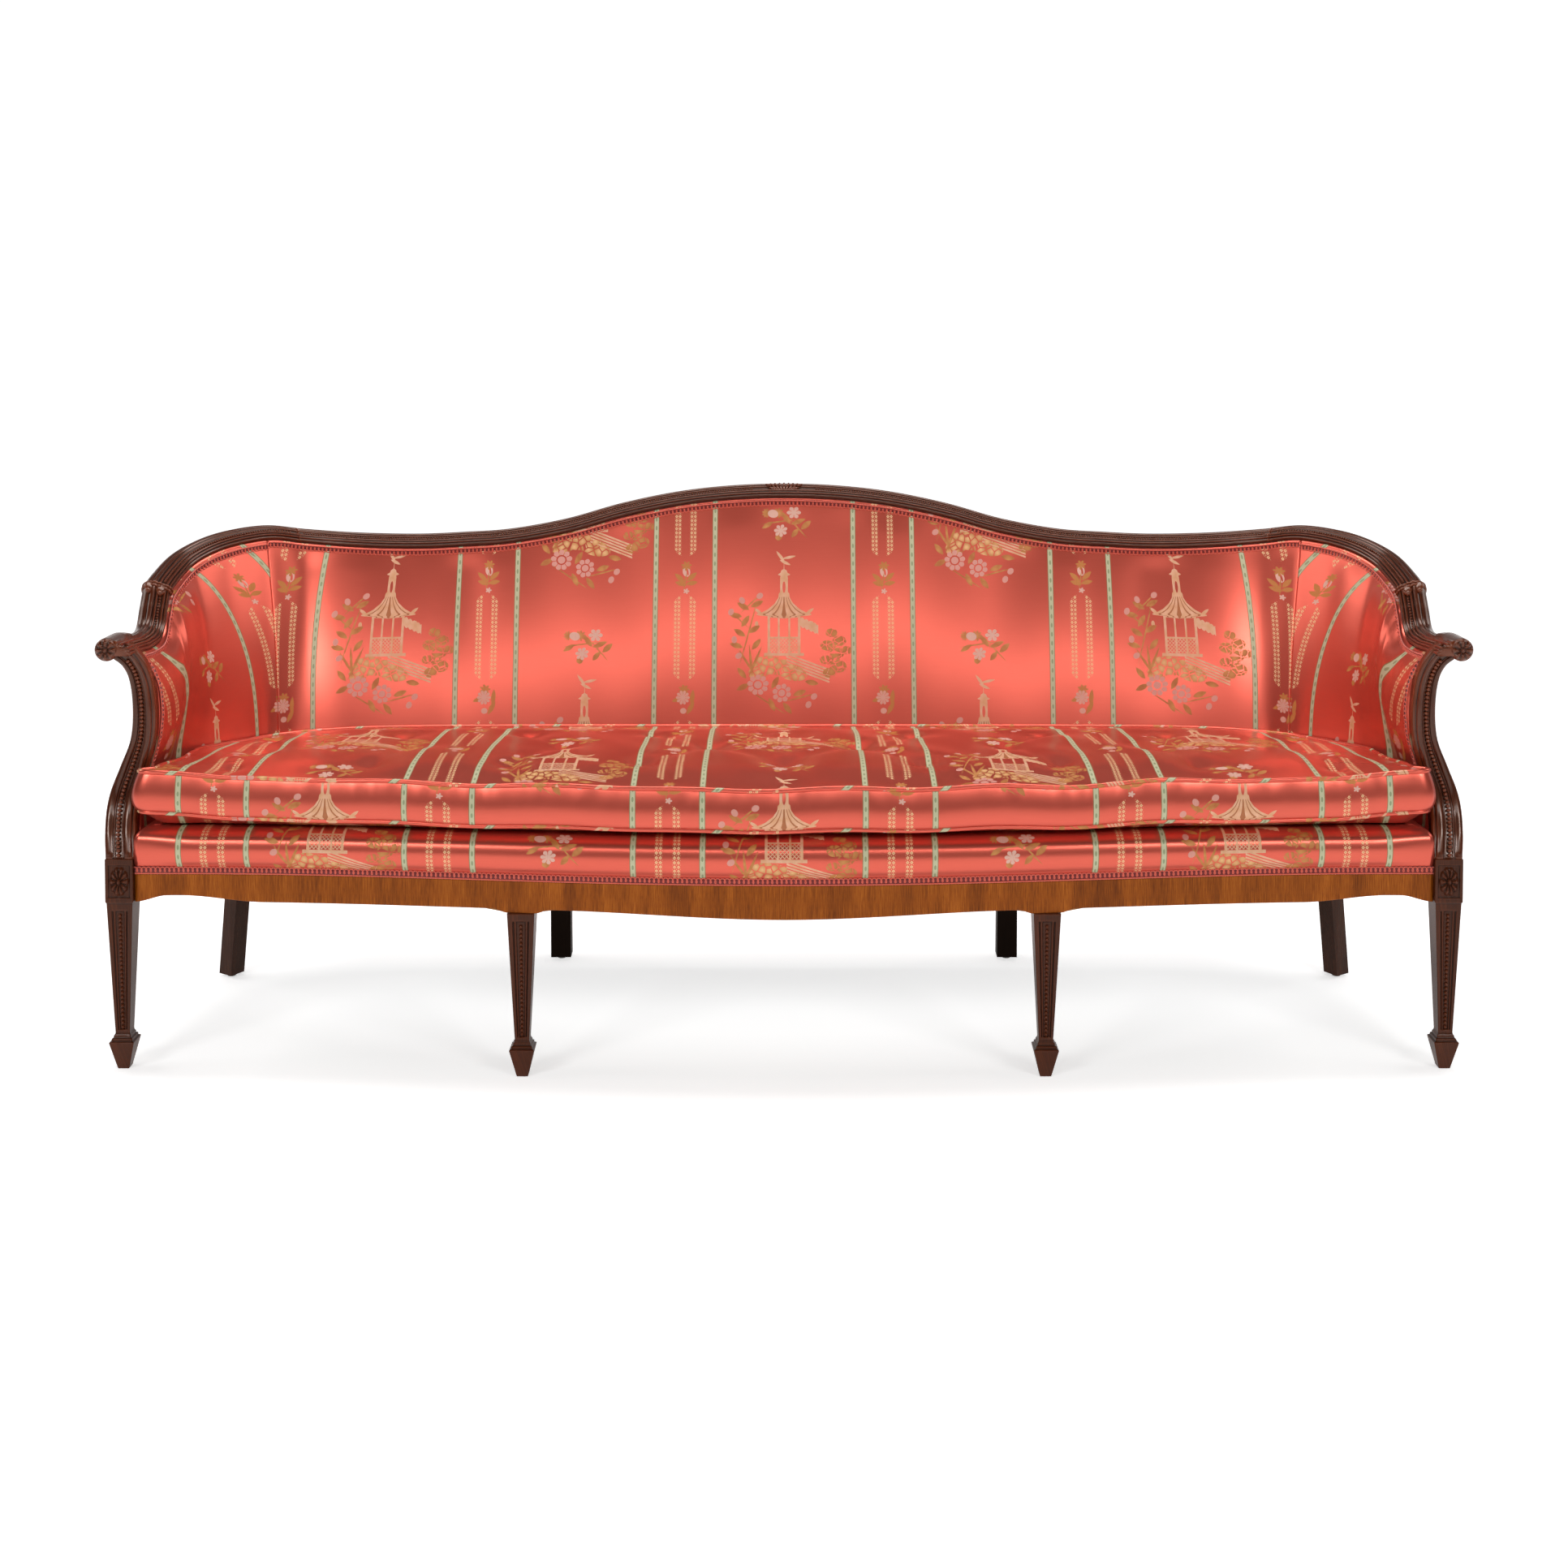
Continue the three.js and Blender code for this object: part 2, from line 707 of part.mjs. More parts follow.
// The side rail runs from the outer rear post to the block of the outer front leg.
const blockBack = blockSize - frontReach;
const bottomY = (station) => footCurve.getPoint(along(station)).y;
const sideRailEnd = findStation(bottomY, blockBack + 2 * fit, knotStation, frontStation);
const sideTenon = (grow = 0) =>
  bar(
    vector(outerLegX, blockBack - tenonLength, rearTenonZ),
    vector(outerLegX, blockBack + tenonLength, rearTenonZ),
    vector(1, 0, 0),
    tenonThickness,
    tenonHeight,
    grow,
  );
const sideRail = cut(
  joined(
    slab(railPoint, [clearOf(outerPostStation, 1), sideRailEnd], [railUnder, railTop],
      [0, railThickness], railSteps),
    railTenon(outerPostStation, 1),
    sideTenon(),
  ),
  block(
    vector(railHalfWidth - blockSize, blockBack - tenonLength - overrun, railUnder - overrun),
    vector(railHalfWidth + overrun, blockBack - tenonLength, railTop + overrun),
  ),
);

// The front rail swells forward, and its lower edge is shaped.
const bow = (x, reach) => (1 + Math.cos(Math.PI * Math.min(1, Math.abs(x) / reach))) / 2;
const frontFaceAt = (x) => -frontRailEnd - frontBow * bow(x, bowReach);
const frontHalf = outerLegX - blockSize / 2 - fit;
const [archStartShare, archTopShare, archEndShare] = [0.8, 0.93, 0.95]; // of half the front rail
const bellyShare = 0.85; // of the way from the middle to an inner leg
function railEdgeAt(x) {
  const out = Math.abs(x);
  const arch = archRise * smoothstep(out, frontHalf * archStartShare, frontHalf * archTopShare);
  const tie = archRise * smoothstep(out, frontHalf * archEndShare, frontHalf);
  const aside = Math.max(0, Math.abs(out - innerLegX) - legTopSize / 2);
  const bracket = bracketDrop * (1 - smoothstep(aside, 0, bracketReach));
  const belly = bellyDrop * (1 - smoothstep(out, 0, innerLegX * bellyShare));
  return railUnder + arch - tie - bracket - belly;
}
const frontPoint = (share, height, depth) => {
  const x = share * frontHalf;
  return vector(x, frontFaceAt(x) + depth, lerp(railEdgeAt(x), railTop, height));
};
const frontTenonY = -frontRailEnd + railThickness / 2;
const frontTenon = (side, grow = 0) =>
  bar(
    vector(side * (frontHalf - tenonLength), frontTenonY, rearTenonZ),
    vector(side * (frontHalf + tenonLength), frontTenonY, rearTenonZ),
    vector(0, 1, 0),
    tenonThickness,
    tenonHeight,
    grow,
  );
const innerLegY = frontFaceAt(innerLegX) + legTopSize / 2 - facingThickness;
const innerStub = (side, grow = 0) =>
  bar(
    vector(side * innerLegX, innerLegY, innerLegTop - innerStubLength),
    vector(side * innerLegX, innerLegY, innerLegTop + innerStubLength),
    vector(1, 0, 0),
    innerStubSize,
    innerStubSize,
    grow,
  );
const frontRailSteps = 52;
// The room above each inner leg, where the brackets of the lower edge are cut level
const legSeats = [-1, 1].map((side) =>
  block(
    vector(side * innerLegX - legTopSize, innerLegY - legTopSize, railUnder / 2),
    vector(side * innerLegX + legTopSize, innerLegY + legTopSize, innerLegTop + fit),
  ),
);
const frontRailCore = slab(
  frontPoint,
  [-1, 1],
  [0, 1],
  [facingThickness + fit, facingThickness + railThickness],
  frontRailSteps,
);
const frontRail = cut(
  joined(frontRailCore, frontTenon(-1), frontTenon(1)),
  innerStub(-1, fit),
  innerStub(1, fit),
  ...legSeats,
);
const railFacing = cut(
  slab(frontPoint, [-1, 1], [0, 1], [0, facingThickness], frontRailSteps),
  ...legSeats,
);

// Front legs, each made round its own middle on the floor

const squareRing = (size, z) => squareFoot(vector(0, 0, z), size, size, 0);
const taperedLeg = (top, topSize) => [
  squareRing(spadeFootSize, 0),
  squareRing(spadeSize, spadeTop),
  squareRing(collarSize, collarFoot),
  squareRing(collarSize, collarTop - (collarTop - collarFoot) / 4),
  squareRing(legFootSize, collarTop),
  squareRing(topSize, top),
];
const outerLegY = blockSize / 2 - frontReach;
// The block steps out from the leg over a short cove.
const outerLegRings = [
  ...taperedLeg(legTop, legTopSize - blockStep),
  squareRing(blockSize, legTop + blockStep),
  squareRing(blockSize, blockTop),
];
const outerLegPlace = [outerLegX, outerLegY, 0];
const atLeg = (geometry, place) => geometry.translate(-place[0], -place[1], -place[2]);
const outerLeg = cut(
  loft(outerLegRings),
  atLeg(frontTenon(1, fit), outerLegPlace),
  atLeg(sideTenon(fit), outerLegPlace),
  atLeg(supportStub(fit), outerLegPlace),
);
const innerLegPlace = [innerLegX, innerLegY, 0];
const innerLeg = joined(
  loft(taperedLeg(innerLegTop, legTopSize)),
  atLeg(
    cut(
      innerStub(1),
      block(
        vector(innerLegX - legTopSize, innerLegY - legTopSize, 0),
        vector(innerLegX + legTopSize, innerLegY + legTopSize, innerLegTop - innerStubLength / 2),
      ),
    ),
    innerLegPlace,
  ),
);

// Braces, corner blocks and the hidden rails of the back and arms

const braceSide = innerLegX + braceWidth / 2;
const braceStart = frontFaceAt(braceSide) + facingThickness + railThickness + fit;
const braceStation = findStation(bottomX, braceSide, 0, seamStation);
const braceEnd = railPoint(braceStation, railTop, rearRailSpan[1]).y - fit;
const middleStart = frontFaceAt(0) + facingThickness + railThickness + fit;
const middleEnd = railPoint(0, railTop, rearRailSpan[1]).y - fit;
const brace = (start, end) =>
  new THREE.BoxGeometry(braceWidth, end - start - 2 * fit, braceHeight);
const braceZ = braceTop - braceHeight / 2;

const cornerFoot = railTop - cornerHeight - fit;
const frontCornerBlock = loft(
  [cornerFoot, cornerFoot + cornerHeight].map((z) => [
    railPoint(sideRailEnd, z, railThickness + fit).setY(blockBack + fit),
    railPoint(stationPast(footCurve, sideRailEnd, -cornerReach), z, railThickness + fit),
    vector(outerLegX - blockSize / 2 - cornerReach, blockBack + fit, z),
  ]),
);
const postInside = wallFoot * (1 - postNearShare); // rails' outer face to a post's inside
const rearCornerSteps = 8;
const rearCornerBlock = slab(
  railPoint,
  [-cornerReach, cornerReach].map((way) => stationPast(footCurve, outerPostStation, way)),
  [cornerFoot, cornerFoot + cornerHeight],
  [postInside + ease, postInside + railThickness / 2],
  rearCornerSteps,
);

const stretcherHeightShares = [0.16, 0.215, 0.27]; // of the wall's height
const armStretcherShares = [0.52, 0.8]; // of the wall's thickness
const stretcherSteps = 12;
const wallBetween = (first, last) =>
  slab(wallPoint, [clearOf(first, 1), clearOf(last, -1)], stretcherHeightShares,
    [postNearShare, postFarShare], stretcherSteps);
const backStretcher = wallBetween(-innerPostStation, innerPostStation);
const backEndStretcher = wallBetween(innerPostStation, outerPostStation);
const armStretcher = cut(
  slab(wallPoint, [clearOf(outerPostStation, 1), frontStation], stretcherHeightShares,
    armStretcherShares, stretcherSteps),
  trim,
);

// Upholstery of the back and arms

const padShares = [0, 0.4]; // shares of the wall's thickness
const braidShare = 0.966; // share of the wall's height where the braid begins
const backHeightShares = [0, 0.15, 0.32, 0.5, 0.68, 0.85, braidShare, 1];
const armHeightShares = [0, 0.14, 0.26, 0.37, 0.48, 0.6, 0.72, 0.84, braidShare, 1];
const coverHeightShares = [0, 0.5, 1];
const backSteps = 32;
const armSteps = 15;
const seamEdge = stationPast(crestCurve, seamStation, ease) - seamStation;
const backSpan = [seamEdge - seamStation, seamStation - seamEdge];
const armSpan = [seamStation + seamEdge, frontStation];
const walls = {
  back: (place, thicknesses, heights = backHeightShares) =>
    slab(place, backSpan, heights, thicknesses, backSteps),
  arm: (place, thicknesses, heights = armHeightShares) =>
    slab(place, armSpan, heights, thicknesses, armSteps),
};
const armRailsTool = joined(
  armRailTool,
  topRail(crestJointStation, knotStation, cornerRailSteps, fit),
);

const insideBack = walls.back(wallPoint, padShares);
const insideArm = cut(walls.arm(wallPoint, padShares), trim, armRailsTool);

const coverPoint = (station, height, depth) => wallPoint(station, height, 1, -depth);
const outsideBack = walls.back(coverPoint, [0, coverThickness], coverHeightShares);
const outsideArm = cut(walls.arm(coverPoint, [0, coverThickness]), trim, armRailsTool);

// Webbing: straps over the seat rails, and straps behind the back's stuffing

const webZ = railTop + fit;
const web = (low, high) =>
  block(vector(low.x, low.y, webZ), vector(high.x, high.y, webZ + webThickness));
const crossWebShares = [-0.84, -0.58, -0.32, -0.11, 0.11, 0.32, 0.58, 0.84]; // of half the width
const longWebShares = [0.3, 0.68]; // of the way from the front rail back
const webInset = railThickness / 2;
const insideRailY = (x) => {
  const station = findStation(bottomX, x, 0, seamStation);
  return railPoint(station, webZ, webInset + rearRailSpan[0]).y;
};
const crossWebs = crossWebShares.map((share) => {
  const x = share * frontHalf;
  return web(
    vector(x - webWidth / 2, frontFaceAt(x) + webInset, 0),
    vector(x + webWidth / 2, insideRailY(Math.abs(x) + webWidth / 2), 0),
  );
});
const longWebs = longWebShares.map((share) => {
  const y = lerp(-frontRailEnd, railPoint(outerPostStation, webZ, 0).y, share);
  const end = findStation(bottomY, y + webWidth / 2, outerPostStation, frontStation);
  const x = railPoint(end, webZ, webInset).x;
  return web(vector(-x, y - webWidth / 2, 0), vector(x, y + webWidth / 2, 0));
});
const seatWebbing = joined(...crossWebs, ...longWebs);

const backWebShares = [0.455, 0.475]; // of the wall's thickness
const uprightWebShares = [-0.36, -0.26, -0.12, -0.0125, 0.095, 0.235, 0.335]; // of the way round
const levelWebReachShare = 0.39; // of the way round, where the level straps end
const levelWebStation = levelWebReachShare * frontStation;
const backWebLowShare = stretcherHeightShares[0];
const backWebHighShare = 0.97;
const levelWebShares = [0.38, 0.7]; // heights of the level straps
const levelWebShare = webWidth / (crestTop - railTop);
const levelWebSteps = 12;
const backWebbing = joined(
  ...uprightWebShares.map((share) =>
    slab(
      wallPoint,
      [share * frontStation, stationPast(footCurve, share * frontStation, webWidth)],
      [backWebLowShare, ...levelWebShares, backWebHighShare],
      backWebShares,
      1,
    ),
  ),
  ...levelWebShares.map((height) =>
    slab(
      wallPoint,
      [-levelWebStation, levelWebStation],
      [height, height + levelWebShare],
      backWebShares,
      levelWebSteps,
    ),
  ),
);

// Plan outlines inside the walls

const stationsRound = (limit, steps) =>
  Array.from({ length: steps + 1 }, (_, i) => lerp(limit, -limit, i / steps));
const wallShareAt = (station, z) => {
  const top = wallPoint(station, 1, 0).z;
  return Math.max(0, (z - wallBase) / (top - wallBase));
};
const insideAt = (station, z, clear) =>
  wallPoint(station, wallShareAt(station, z), 0, -clear).setZ(z);

// The black dust cover lies under the braces, inside the rails.
const dustSteps = 24;
const dustSideSteps = 36;
const dustSideStation = stationPast(footCurve, sideRailEnd, -4 * ease);
const dustInset = facingThickness + railThickness + ease;
const dustOutline = [
  ...Array.from({ length: dustSteps + 1 }, (_, i) => {
    const x = lerp(-1, 1, i / dustSteps) * (outerLegX - blockSize / 2 - 2 * fit);
    return vector(x, Math.max(frontFaceAt(x) + dustInset, blockBack + 2 * fit), 0);
  }),
  ...stationsRound(dustSideStation, dustSideSteps).map((station) =>
    railPoint(station, 0, postInside + ease),
  ),
];
const dustCover = geometryOf(
  new wasm.CrossSection([dustOutline.map(({ x, y }) => [x, y])], "EvenOdd")
    .extrude(clothThickness)
    .translate([0, 0, dustCoverZ]),
);

// Seat stuffing: a deck that ends in a border roll over the front rail.
// Layer rows: share of the height, share of the roll's bulge, share of its rounding.
const rollShares = [
  [0, 0, 0],
  [0.12, 0.1, 0],
  [0.3, 0.72, 0],
  [0.52, 1, 0],
  [0.74, 0.8, 0.02],
  [0.9, 0.2, 0.14],
  [0.98, -0.6, 0.45],
  [1, -1, 1],
];
const deckFoot = webZ + webThickness + fit;
const deckHalf = outerLegX - blockSize / 2 - 2 * fit;
const deckFrontSteps = 28;
const deckSideSteps = 36;
const [rollFadeShare, rollTaperShare] = [0.6, 0.9]; // bulge lost at the ends, and where that begins
const deckTopAt = (y) =>
  lerp(rollTop, deckRear, (y + frontRailEnd) / (frontRailEnd + rearRailReach));
function deckRing([height, bulge, rounding]) {
  const inset = rounding * rollRound;
  const atHeight = (point) => point.setZ(lerp(deckFoot, deckTopAt(point.y), height));
  const front = Array.from({ length: deckFrontSteps + 1 }, (_, i) => {
    const x = lerp(-1, 1, i / deckFrontSteps) * (deckHalf - inset);
    const fade = rollFadeShare * smoothstep(Math.abs(x), deckHalf * rollTaperShare, deckHalf);
    return vector(x, frontFaceAt(x) - (1 - fade) * bulge * rollBulge + inset, 0);
  });
  const sides = stationsRound(sideRailEnd, deckSideSteps).map((station) =>
    insideAt(station, lerp(deckFoot, rollTop, height), deckGap + inset),
  );
  return [...front, ...sides].map(atHeight);
}

// The room that the rail's braid and the blocks take from the seat stuffing
const beforeRail = (share, height, depth) => {
  const x = share * frontHalf;
  return vector(x, frontFaceAt(x) - depth, height);
};
const braidRoom = slab(
  beforeRail,
  [-1, 1],
  [railUnder, railTop + braidWidth + fit],
  [0, overrun],
  frontRailSteps,
);
const deck = cut(loft(rollShares.map(deckRing)), braidRoom);

// The braid over the joint of rail and border, over the top edge of the walls and beside the supports

const railBraid = slab(
  beforeRail,
  [-1, 1],
  [railTop, railTop + braidWidth],
  [fit, fit + braidThickness],
  frontRailSteps,
);
const braidPoint = (station, height, depth) => wallPoint(station, height, 0, -depth);
const braidDepths = [fit, fit + braidThickness];
const backBraid = walls.back(braidPoint, braidDepths, [braidShare, 1]);
const besideSupport = common(
  walls.arm(braidPoint, braidDepths),
  cut(
    beforeSupports(2 * fit + braidWidth),
    block(
      vector(-crestHalfWidth - 2 * overrun, -frontReach - 2 * overrun, railUnder - 2 * overrun),
      vector(crestHalfWidth + 2 * overrun, frontReach, rollTop),
    ),
  ),
);
const armBraid = cut(
  joined(walls.arm(braidPoint, braidDepths, [braidShare, 1]), besideSupport),
  trim,
  armRailsTool,
);

// The loose cushion

const cushionRear = rearRailReach - wallFoot;
const cushionDepth = cushionFrontEnd + cushionBow + cushionRear;
const cushionFrontAt = (x) => -cushionFrontEnd - cushionBow * bow(x, cushionBowReach);
const cushionSideSteps = 22;
const cushionFrontSteps = 17;
const cushionSideStation = findStation(
  bottomY,
  earDepth * 2 - frontRailEnd,
  knotStation,
  frontStation,
);

// One half of the outline from the front middle to the rear middle, then its mirror image
function cushionOutline() {
  const point = (x, y) => new THREE.Vector2(x, y);
  const front = Array.from({ length: cushionFrontSteps }, (_, i) => {
    const x = (i / cushionFrontSteps) * cushionHalfWidth;
    return point(x, cushionFrontAt(x));
  });
  const ear = [
    point(cushionHalfWidth + cushionEar / 2, -cushionFrontEnd - earDepth / 4),
    point(cushionHalfWidth + cushionEar, -cushionFrontEnd + earDepth / 5),
    point(cushionHalfWidth, -cushionFrontEnd + earDepth),
  ];
  const side = Array.from({ length: cushionSideSteps }, (_, i) => {
    const station = lerp(cushionSideStation, 0, i / cushionSideSteps);
    const { x, y } = insideAt(station, cushionLowWelt, cushionGap);
    return point(Math.min(x, cushionHalfWidth), y);
  });
  const rear = point(0, insideAt(0, cushionLowWelt, cushionGap).y);
  const half = [...front, ...ear, ...side, rear];
  const other = half.slice(1, -1).reverse().map(({ x, y }) => point(-x, y));
  return [...half, ...other];
}

// Tufts in staggered rows, across the width and from front to back
const tuftRows = 3;
const tuftColumns = 9;
const tufts = [];
for (let row = 0; row < tuftRows; row++) {
  const count = tuftColumns - (row % 2);
  for (let column = 0; column < count; column++) {
    const acrossShare = (2 * column + 1) / count - 1;
    const backShare = (row + 1) / (tuftRows + 1);
    tufts.push([
      acrossShare * cushionHalfWidth,
      lerp(-cushionFrontEnd - cushionBow, cushionRear, backShare),
    ]);
  }
}
const tuftDip = ({ x, y }) =>
  tufts.reduce((dip, [tuftX, tuftY]) => {
    const away = Math.hypot(x - tuftX, y - tuftY) / tuftReach;
    return dip + tuftDepth * Math.exp(-2 * away ** 2);
  }, 0);

// The boxing between the welts. Rows: share of its height, share of its bulge.
const boxingShares = [
  [0, 0],
  [0.28, 0.8],
  [0.6, 1],
  [0.86, 0.5],
  [1, 0],
];
const underShares = [0.9, 0.5, 0.15]; // of the way from the edge to the middle of the underside
const crownShares = [0.09, 0.24, 0.46, 0.7, 0.92]; // the same on top
const [crownEdgeShare, restEdgeShare] = [0.4, 0.15]; // where the top and the underside level out
const [liftStartShare, liftDepthShare] = [0.86, 0.33]; // the turned-up corners, across and back

function cushionBody() {
  const outline = cushionOutline();
  const spineHalf = cushionHalfWidth - cushionDepth / 2;
  const inset = ({ x, y }, share) => {
    const spineX = THREE.MathUtils.clamp(x, -spineHalf, spineHalf);
    const spineY = (cushionFrontAt(spineX) + cushionRear) / 2;
    return new THREE.Vector2(lerp(x, spineX, share), lerp(y, spineY, share));
  };
  const corner = ({ x, y }) =>
    smoothstep(
      Math.abs(x),
      cushionHalfWidth * liftStartShare,
      cushionHalfWidth + cushionEar,
    ) *
    (1 - smoothstep(y, -cushionFrontEnd, cushionDepth * liftDepthShare - cushionFrontEnd));
  const weltHeight = (height, point) =>
    height +
    cushionCornerLift * corner(point) -
    cushionRearDrop * smoothstep(point.y, -cushionFrontEnd, cushionRear);
  const edge = (share, reachShare) => 1 - (1 - Math.min(1, share / reachShare)) ** 2;
  const crown = ({ x, y }, share) => {
    const run = (y - cushionFrontAt(x)) / (cushionRear - cushionFrontAt(x));
    const acrossSwell = 1 - (x / (cushionHalfWidth + cushionEar)) ** 8;
    return edge(share, crownEdgeShare) * (1 - (2 * run - 1) ** 4) * acrossSwell;
  };
  const under = (share) =>
    outline.map((rim) => {
      const { x, y } = inset(rim, share);
      const rest = deckTopAt(y) + fit;
      return vector(x, y, lerp(weltHeight(cushionLowWelt, rim), rest, edge(share, restEdgeShare)));
    });
  const boxing = ([height, bulge]) =>
    outline.map((rim) => {
      const forward = rim.y < 0 ? bulge * cushionBulge : 0;
      const z = lerp(cushionLowWelt, cushionHighWelt, height);
      return vector(rim.x, rim.y - forward, weltHeight(z, rim));
    });
  const over = (share) =>
    outline.map((rim) => {
      const place = inset(rim, share);
      const rise = cushionCrown * crown(place, share) - tuftDip(place) * edge(share, crownShares[1]);
      return vector(place.x, place.y, weltHeight(cushionHighWelt, place) + rise);
    });
  return loft([...underShares.map(under), ...boxingShares.map(boxing), ...crownShares.map(over)]);
}

// Small turned and carved pieces

const roundSides = 16;
const dome = (radius, height) => {
  const profile = [
    [0, 0],
    [radius, 0],
    [radius, height / 3],
    [radius / 2, height],
    [0, height],
  ];
  return new THREE.LatheGeometry(profile.map(([r, z]) => new THREE.Vector2(r, z)), roundSides);
};
const scrollRosette = dome(scrollRosetteRadius, rosetteThickness).rotateX(Math.PI);
const blockRosette = dome(blockRosetteWidth / 2, rosetteThickness)
  .scale(1, 1, blockRosetteHeight / blockRosetteWidth)
  .rotateX(Math.PI);
const glideFootRadius = glideRadius * 0.8;
const glide = new THREE.CylinderGeometry(
  glideRadius,
  glideFootRadius,
  glideHeight - fit,
  roundSides,
).rotateX(Math.PI / 2);

// The assembly

addPiece("crest_rail", crestRail, showWood);
addPiece("front_rail", frontRail, frameWood);
addPiece("front_rail_facing", railFacing, facingWood);
addPiece("rear_rail_centre", rearCentreRail, frameWood);
addPiece("seat_webbing", seatWebbing, webbing);
addPiece("back_webbing", backWebbing, webbing);
addPiece("seat_stuffing", deck, satin);
addPiece("inside_back", insideBack, satin);
addPiece("outside_back", outsideBack, satin);
addPiece("back_stretcher_centre", backStretcher, frameWood);
addPiece("dust_cover", dustCover, cambric);
addPiece("braid_front", railBraid, braid);
addPiece("braid_back", backBraid, braid);
addPiece("brace_middle", brace(middleStart, middleEnd), frameWood,
  [0, (middleStart + middleEnd) / 2, braceZ]);
addPiece("seat_cushion", cushionBody(), satin);

for (const [side, hand] of [[-1, "left"], [1, "right"]]) {
  const handed = (geometry) => (side < 0 ? mirrored(geometry) : geometry);
  const placed = ([x, y, z]) => [side * x, y, z];
  addPiece(`crest_corner_${hand}`, handed(cornerRail), showWood);
  addPiece(`arm_rail_${hand}`, handed(armRail), showWood);
  addPiece(`arm_support_${hand}`, handed(armSupport), showWood);
  addPiece(`front_leg_outer_${hand}`, handed(outerLeg), showWood, placed(outerLegPlace));
  addPiece(`front_leg_inner_${hand}`, handed(innerLeg), showWood, placed(innerLegPlace));
  addPiece(`rear_leg_inner_${hand}`, handed(rearInnerLeg), showWood);
  addPiece(`rear_leg_outer_${hand}`, handed(rearOuterLeg), showWood);
  addPiece(`side_rail_${hand}`, handed(sideRail), facingWood);
  addPiece(`rear_rail_${hand}`, handed(rearEndRail), frameWood);
  addPiece(`brace_${hand}`, brace(braceStart, braceEnd), frameWood,
    placed([innerLegX, (braceStart + braceEnd) / 2, braceZ]));
  addPiece(`corner_block_front_${hand}`, handed(frontCornerBlock), frameWood);
  addPiece(`corner_block_rear_${hand}`, handed(rearCornerBlock), frameWood);
  addPiece(`back_stretcher_${hand}`, handed(backEndStretcher), frameWood);
  addPiece(`arm_stretcher_${hand}`, handed(armStretcher), frameWood);
  addPiece(`inside_arm_${hand}`, handed(insideArm), satin);
  addPiece(`outside_arm_${hand}`, handed(outsideArm), satin);
  addPiece(`braid_arm_${hand}`, handed(armBraid), braid);
  addPiece(`scroll_rosette_${hand}`, scrollRosette, showWood,
    placed([scrollCentre.x, scrollCentre.y - fit, scrollCentre.z]));
  addPiece(`block_rosette_front_${hand}`, blockRosette, showWood,
    placed([outerLegX, -frontReach - fit, blockRosetteZ]));
  addPiece(`block_rosette_side_${hand}`, blockRosette, showWood,
    placed([outerLegX + blockSize / 2 + fit, outerLegY, blockRosetteZ]), (side * Math.PI) / 2);
  const glideZ = (glideHeight - fit) / 2;
  addPiece(`glide_inner_${hand}`, glide, steel, placed([innerLegX, innerFootReach, glideZ]));
  addPiece(`glide_outer_${hand}`, glide, steel, placed([outerFootX, outerFootY, glideZ]));
}

// The origin comes under the middle of the whole sofa.
sofa.updateMatrixWorld(true);
const box = new THREE.Box3().setFromObject(standing, true);
standing.position.set(-(box.min.x + box.max.x) / 2, -(box.min.y + box.max.y) / 2, -box.min.z);

export default sofa;
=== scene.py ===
# %% [markdown]
# # A camelback sofa in mahogany and silk
#
# The real sofa is a mahogany show frame with silk stretched over stuffing, and one loose cushion.
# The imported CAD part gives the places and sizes. This lesson dresses it: each curved piece is laid
# out again from the same lines, with far more points, so that mouldings, beads, tufts and gathers
# can be shaped in the mesh, and each finish is made of shader nodes.

import math

import bmesh
import bpy
import numpy as np
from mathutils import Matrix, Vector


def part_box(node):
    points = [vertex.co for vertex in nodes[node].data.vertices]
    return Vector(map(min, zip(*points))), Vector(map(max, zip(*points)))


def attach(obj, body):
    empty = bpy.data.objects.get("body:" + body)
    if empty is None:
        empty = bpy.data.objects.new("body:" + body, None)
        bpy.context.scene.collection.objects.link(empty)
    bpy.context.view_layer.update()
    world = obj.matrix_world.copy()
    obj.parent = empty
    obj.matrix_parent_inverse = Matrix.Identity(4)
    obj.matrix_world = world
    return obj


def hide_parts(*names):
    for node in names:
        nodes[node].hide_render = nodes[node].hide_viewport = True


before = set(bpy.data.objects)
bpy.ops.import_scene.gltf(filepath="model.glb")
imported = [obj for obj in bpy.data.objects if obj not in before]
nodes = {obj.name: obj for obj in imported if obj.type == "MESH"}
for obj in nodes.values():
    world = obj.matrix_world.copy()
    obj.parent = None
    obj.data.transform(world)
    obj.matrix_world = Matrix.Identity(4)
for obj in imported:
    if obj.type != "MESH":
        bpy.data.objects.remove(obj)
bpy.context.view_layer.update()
# The CAD work centres the sofa under itself at the end. This is how far it was moved along Y.
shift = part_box("front_leg_outer_left")[0].y + 0.314

# %% [markdown]
# ## Camera and light
#
# The camera comes first, because everything else is seen through it.
# The photograph was taken level, from above the crest, with the lens shifted down, which keeps the
# legs upright. The camera here tilts down by two degrees and shifts a little less. That moves no
# part of the picture by more than a few pixels, and it keeps the crest in the turned views.
#
# Satin shows a lamp as a band. The three soft boxes in front hang where the back sends them to the
# camera, the two side walls light the arms from outside, and the top box lights the seat.

# %% Camera
TILT = 2.1  # degrees
camera_data = bpy.data.cameras.new("studio_camera")
camera_data.lens = 46.449
camera_data.sensor_width = 36
camera_data.shift_y = -0.2691
camera = bpy.data.objects.new("studio_camera", camera_data)
camera.location = (0, -3.3946, 1.2138)
camera.rotation_euler = (math.radians(90 - TILT), 0, 0)
bpy.context.scene.collection.objects.link(camera)
bpy.context.scene.camera = camera
print("camera at", tuple(camera.location))

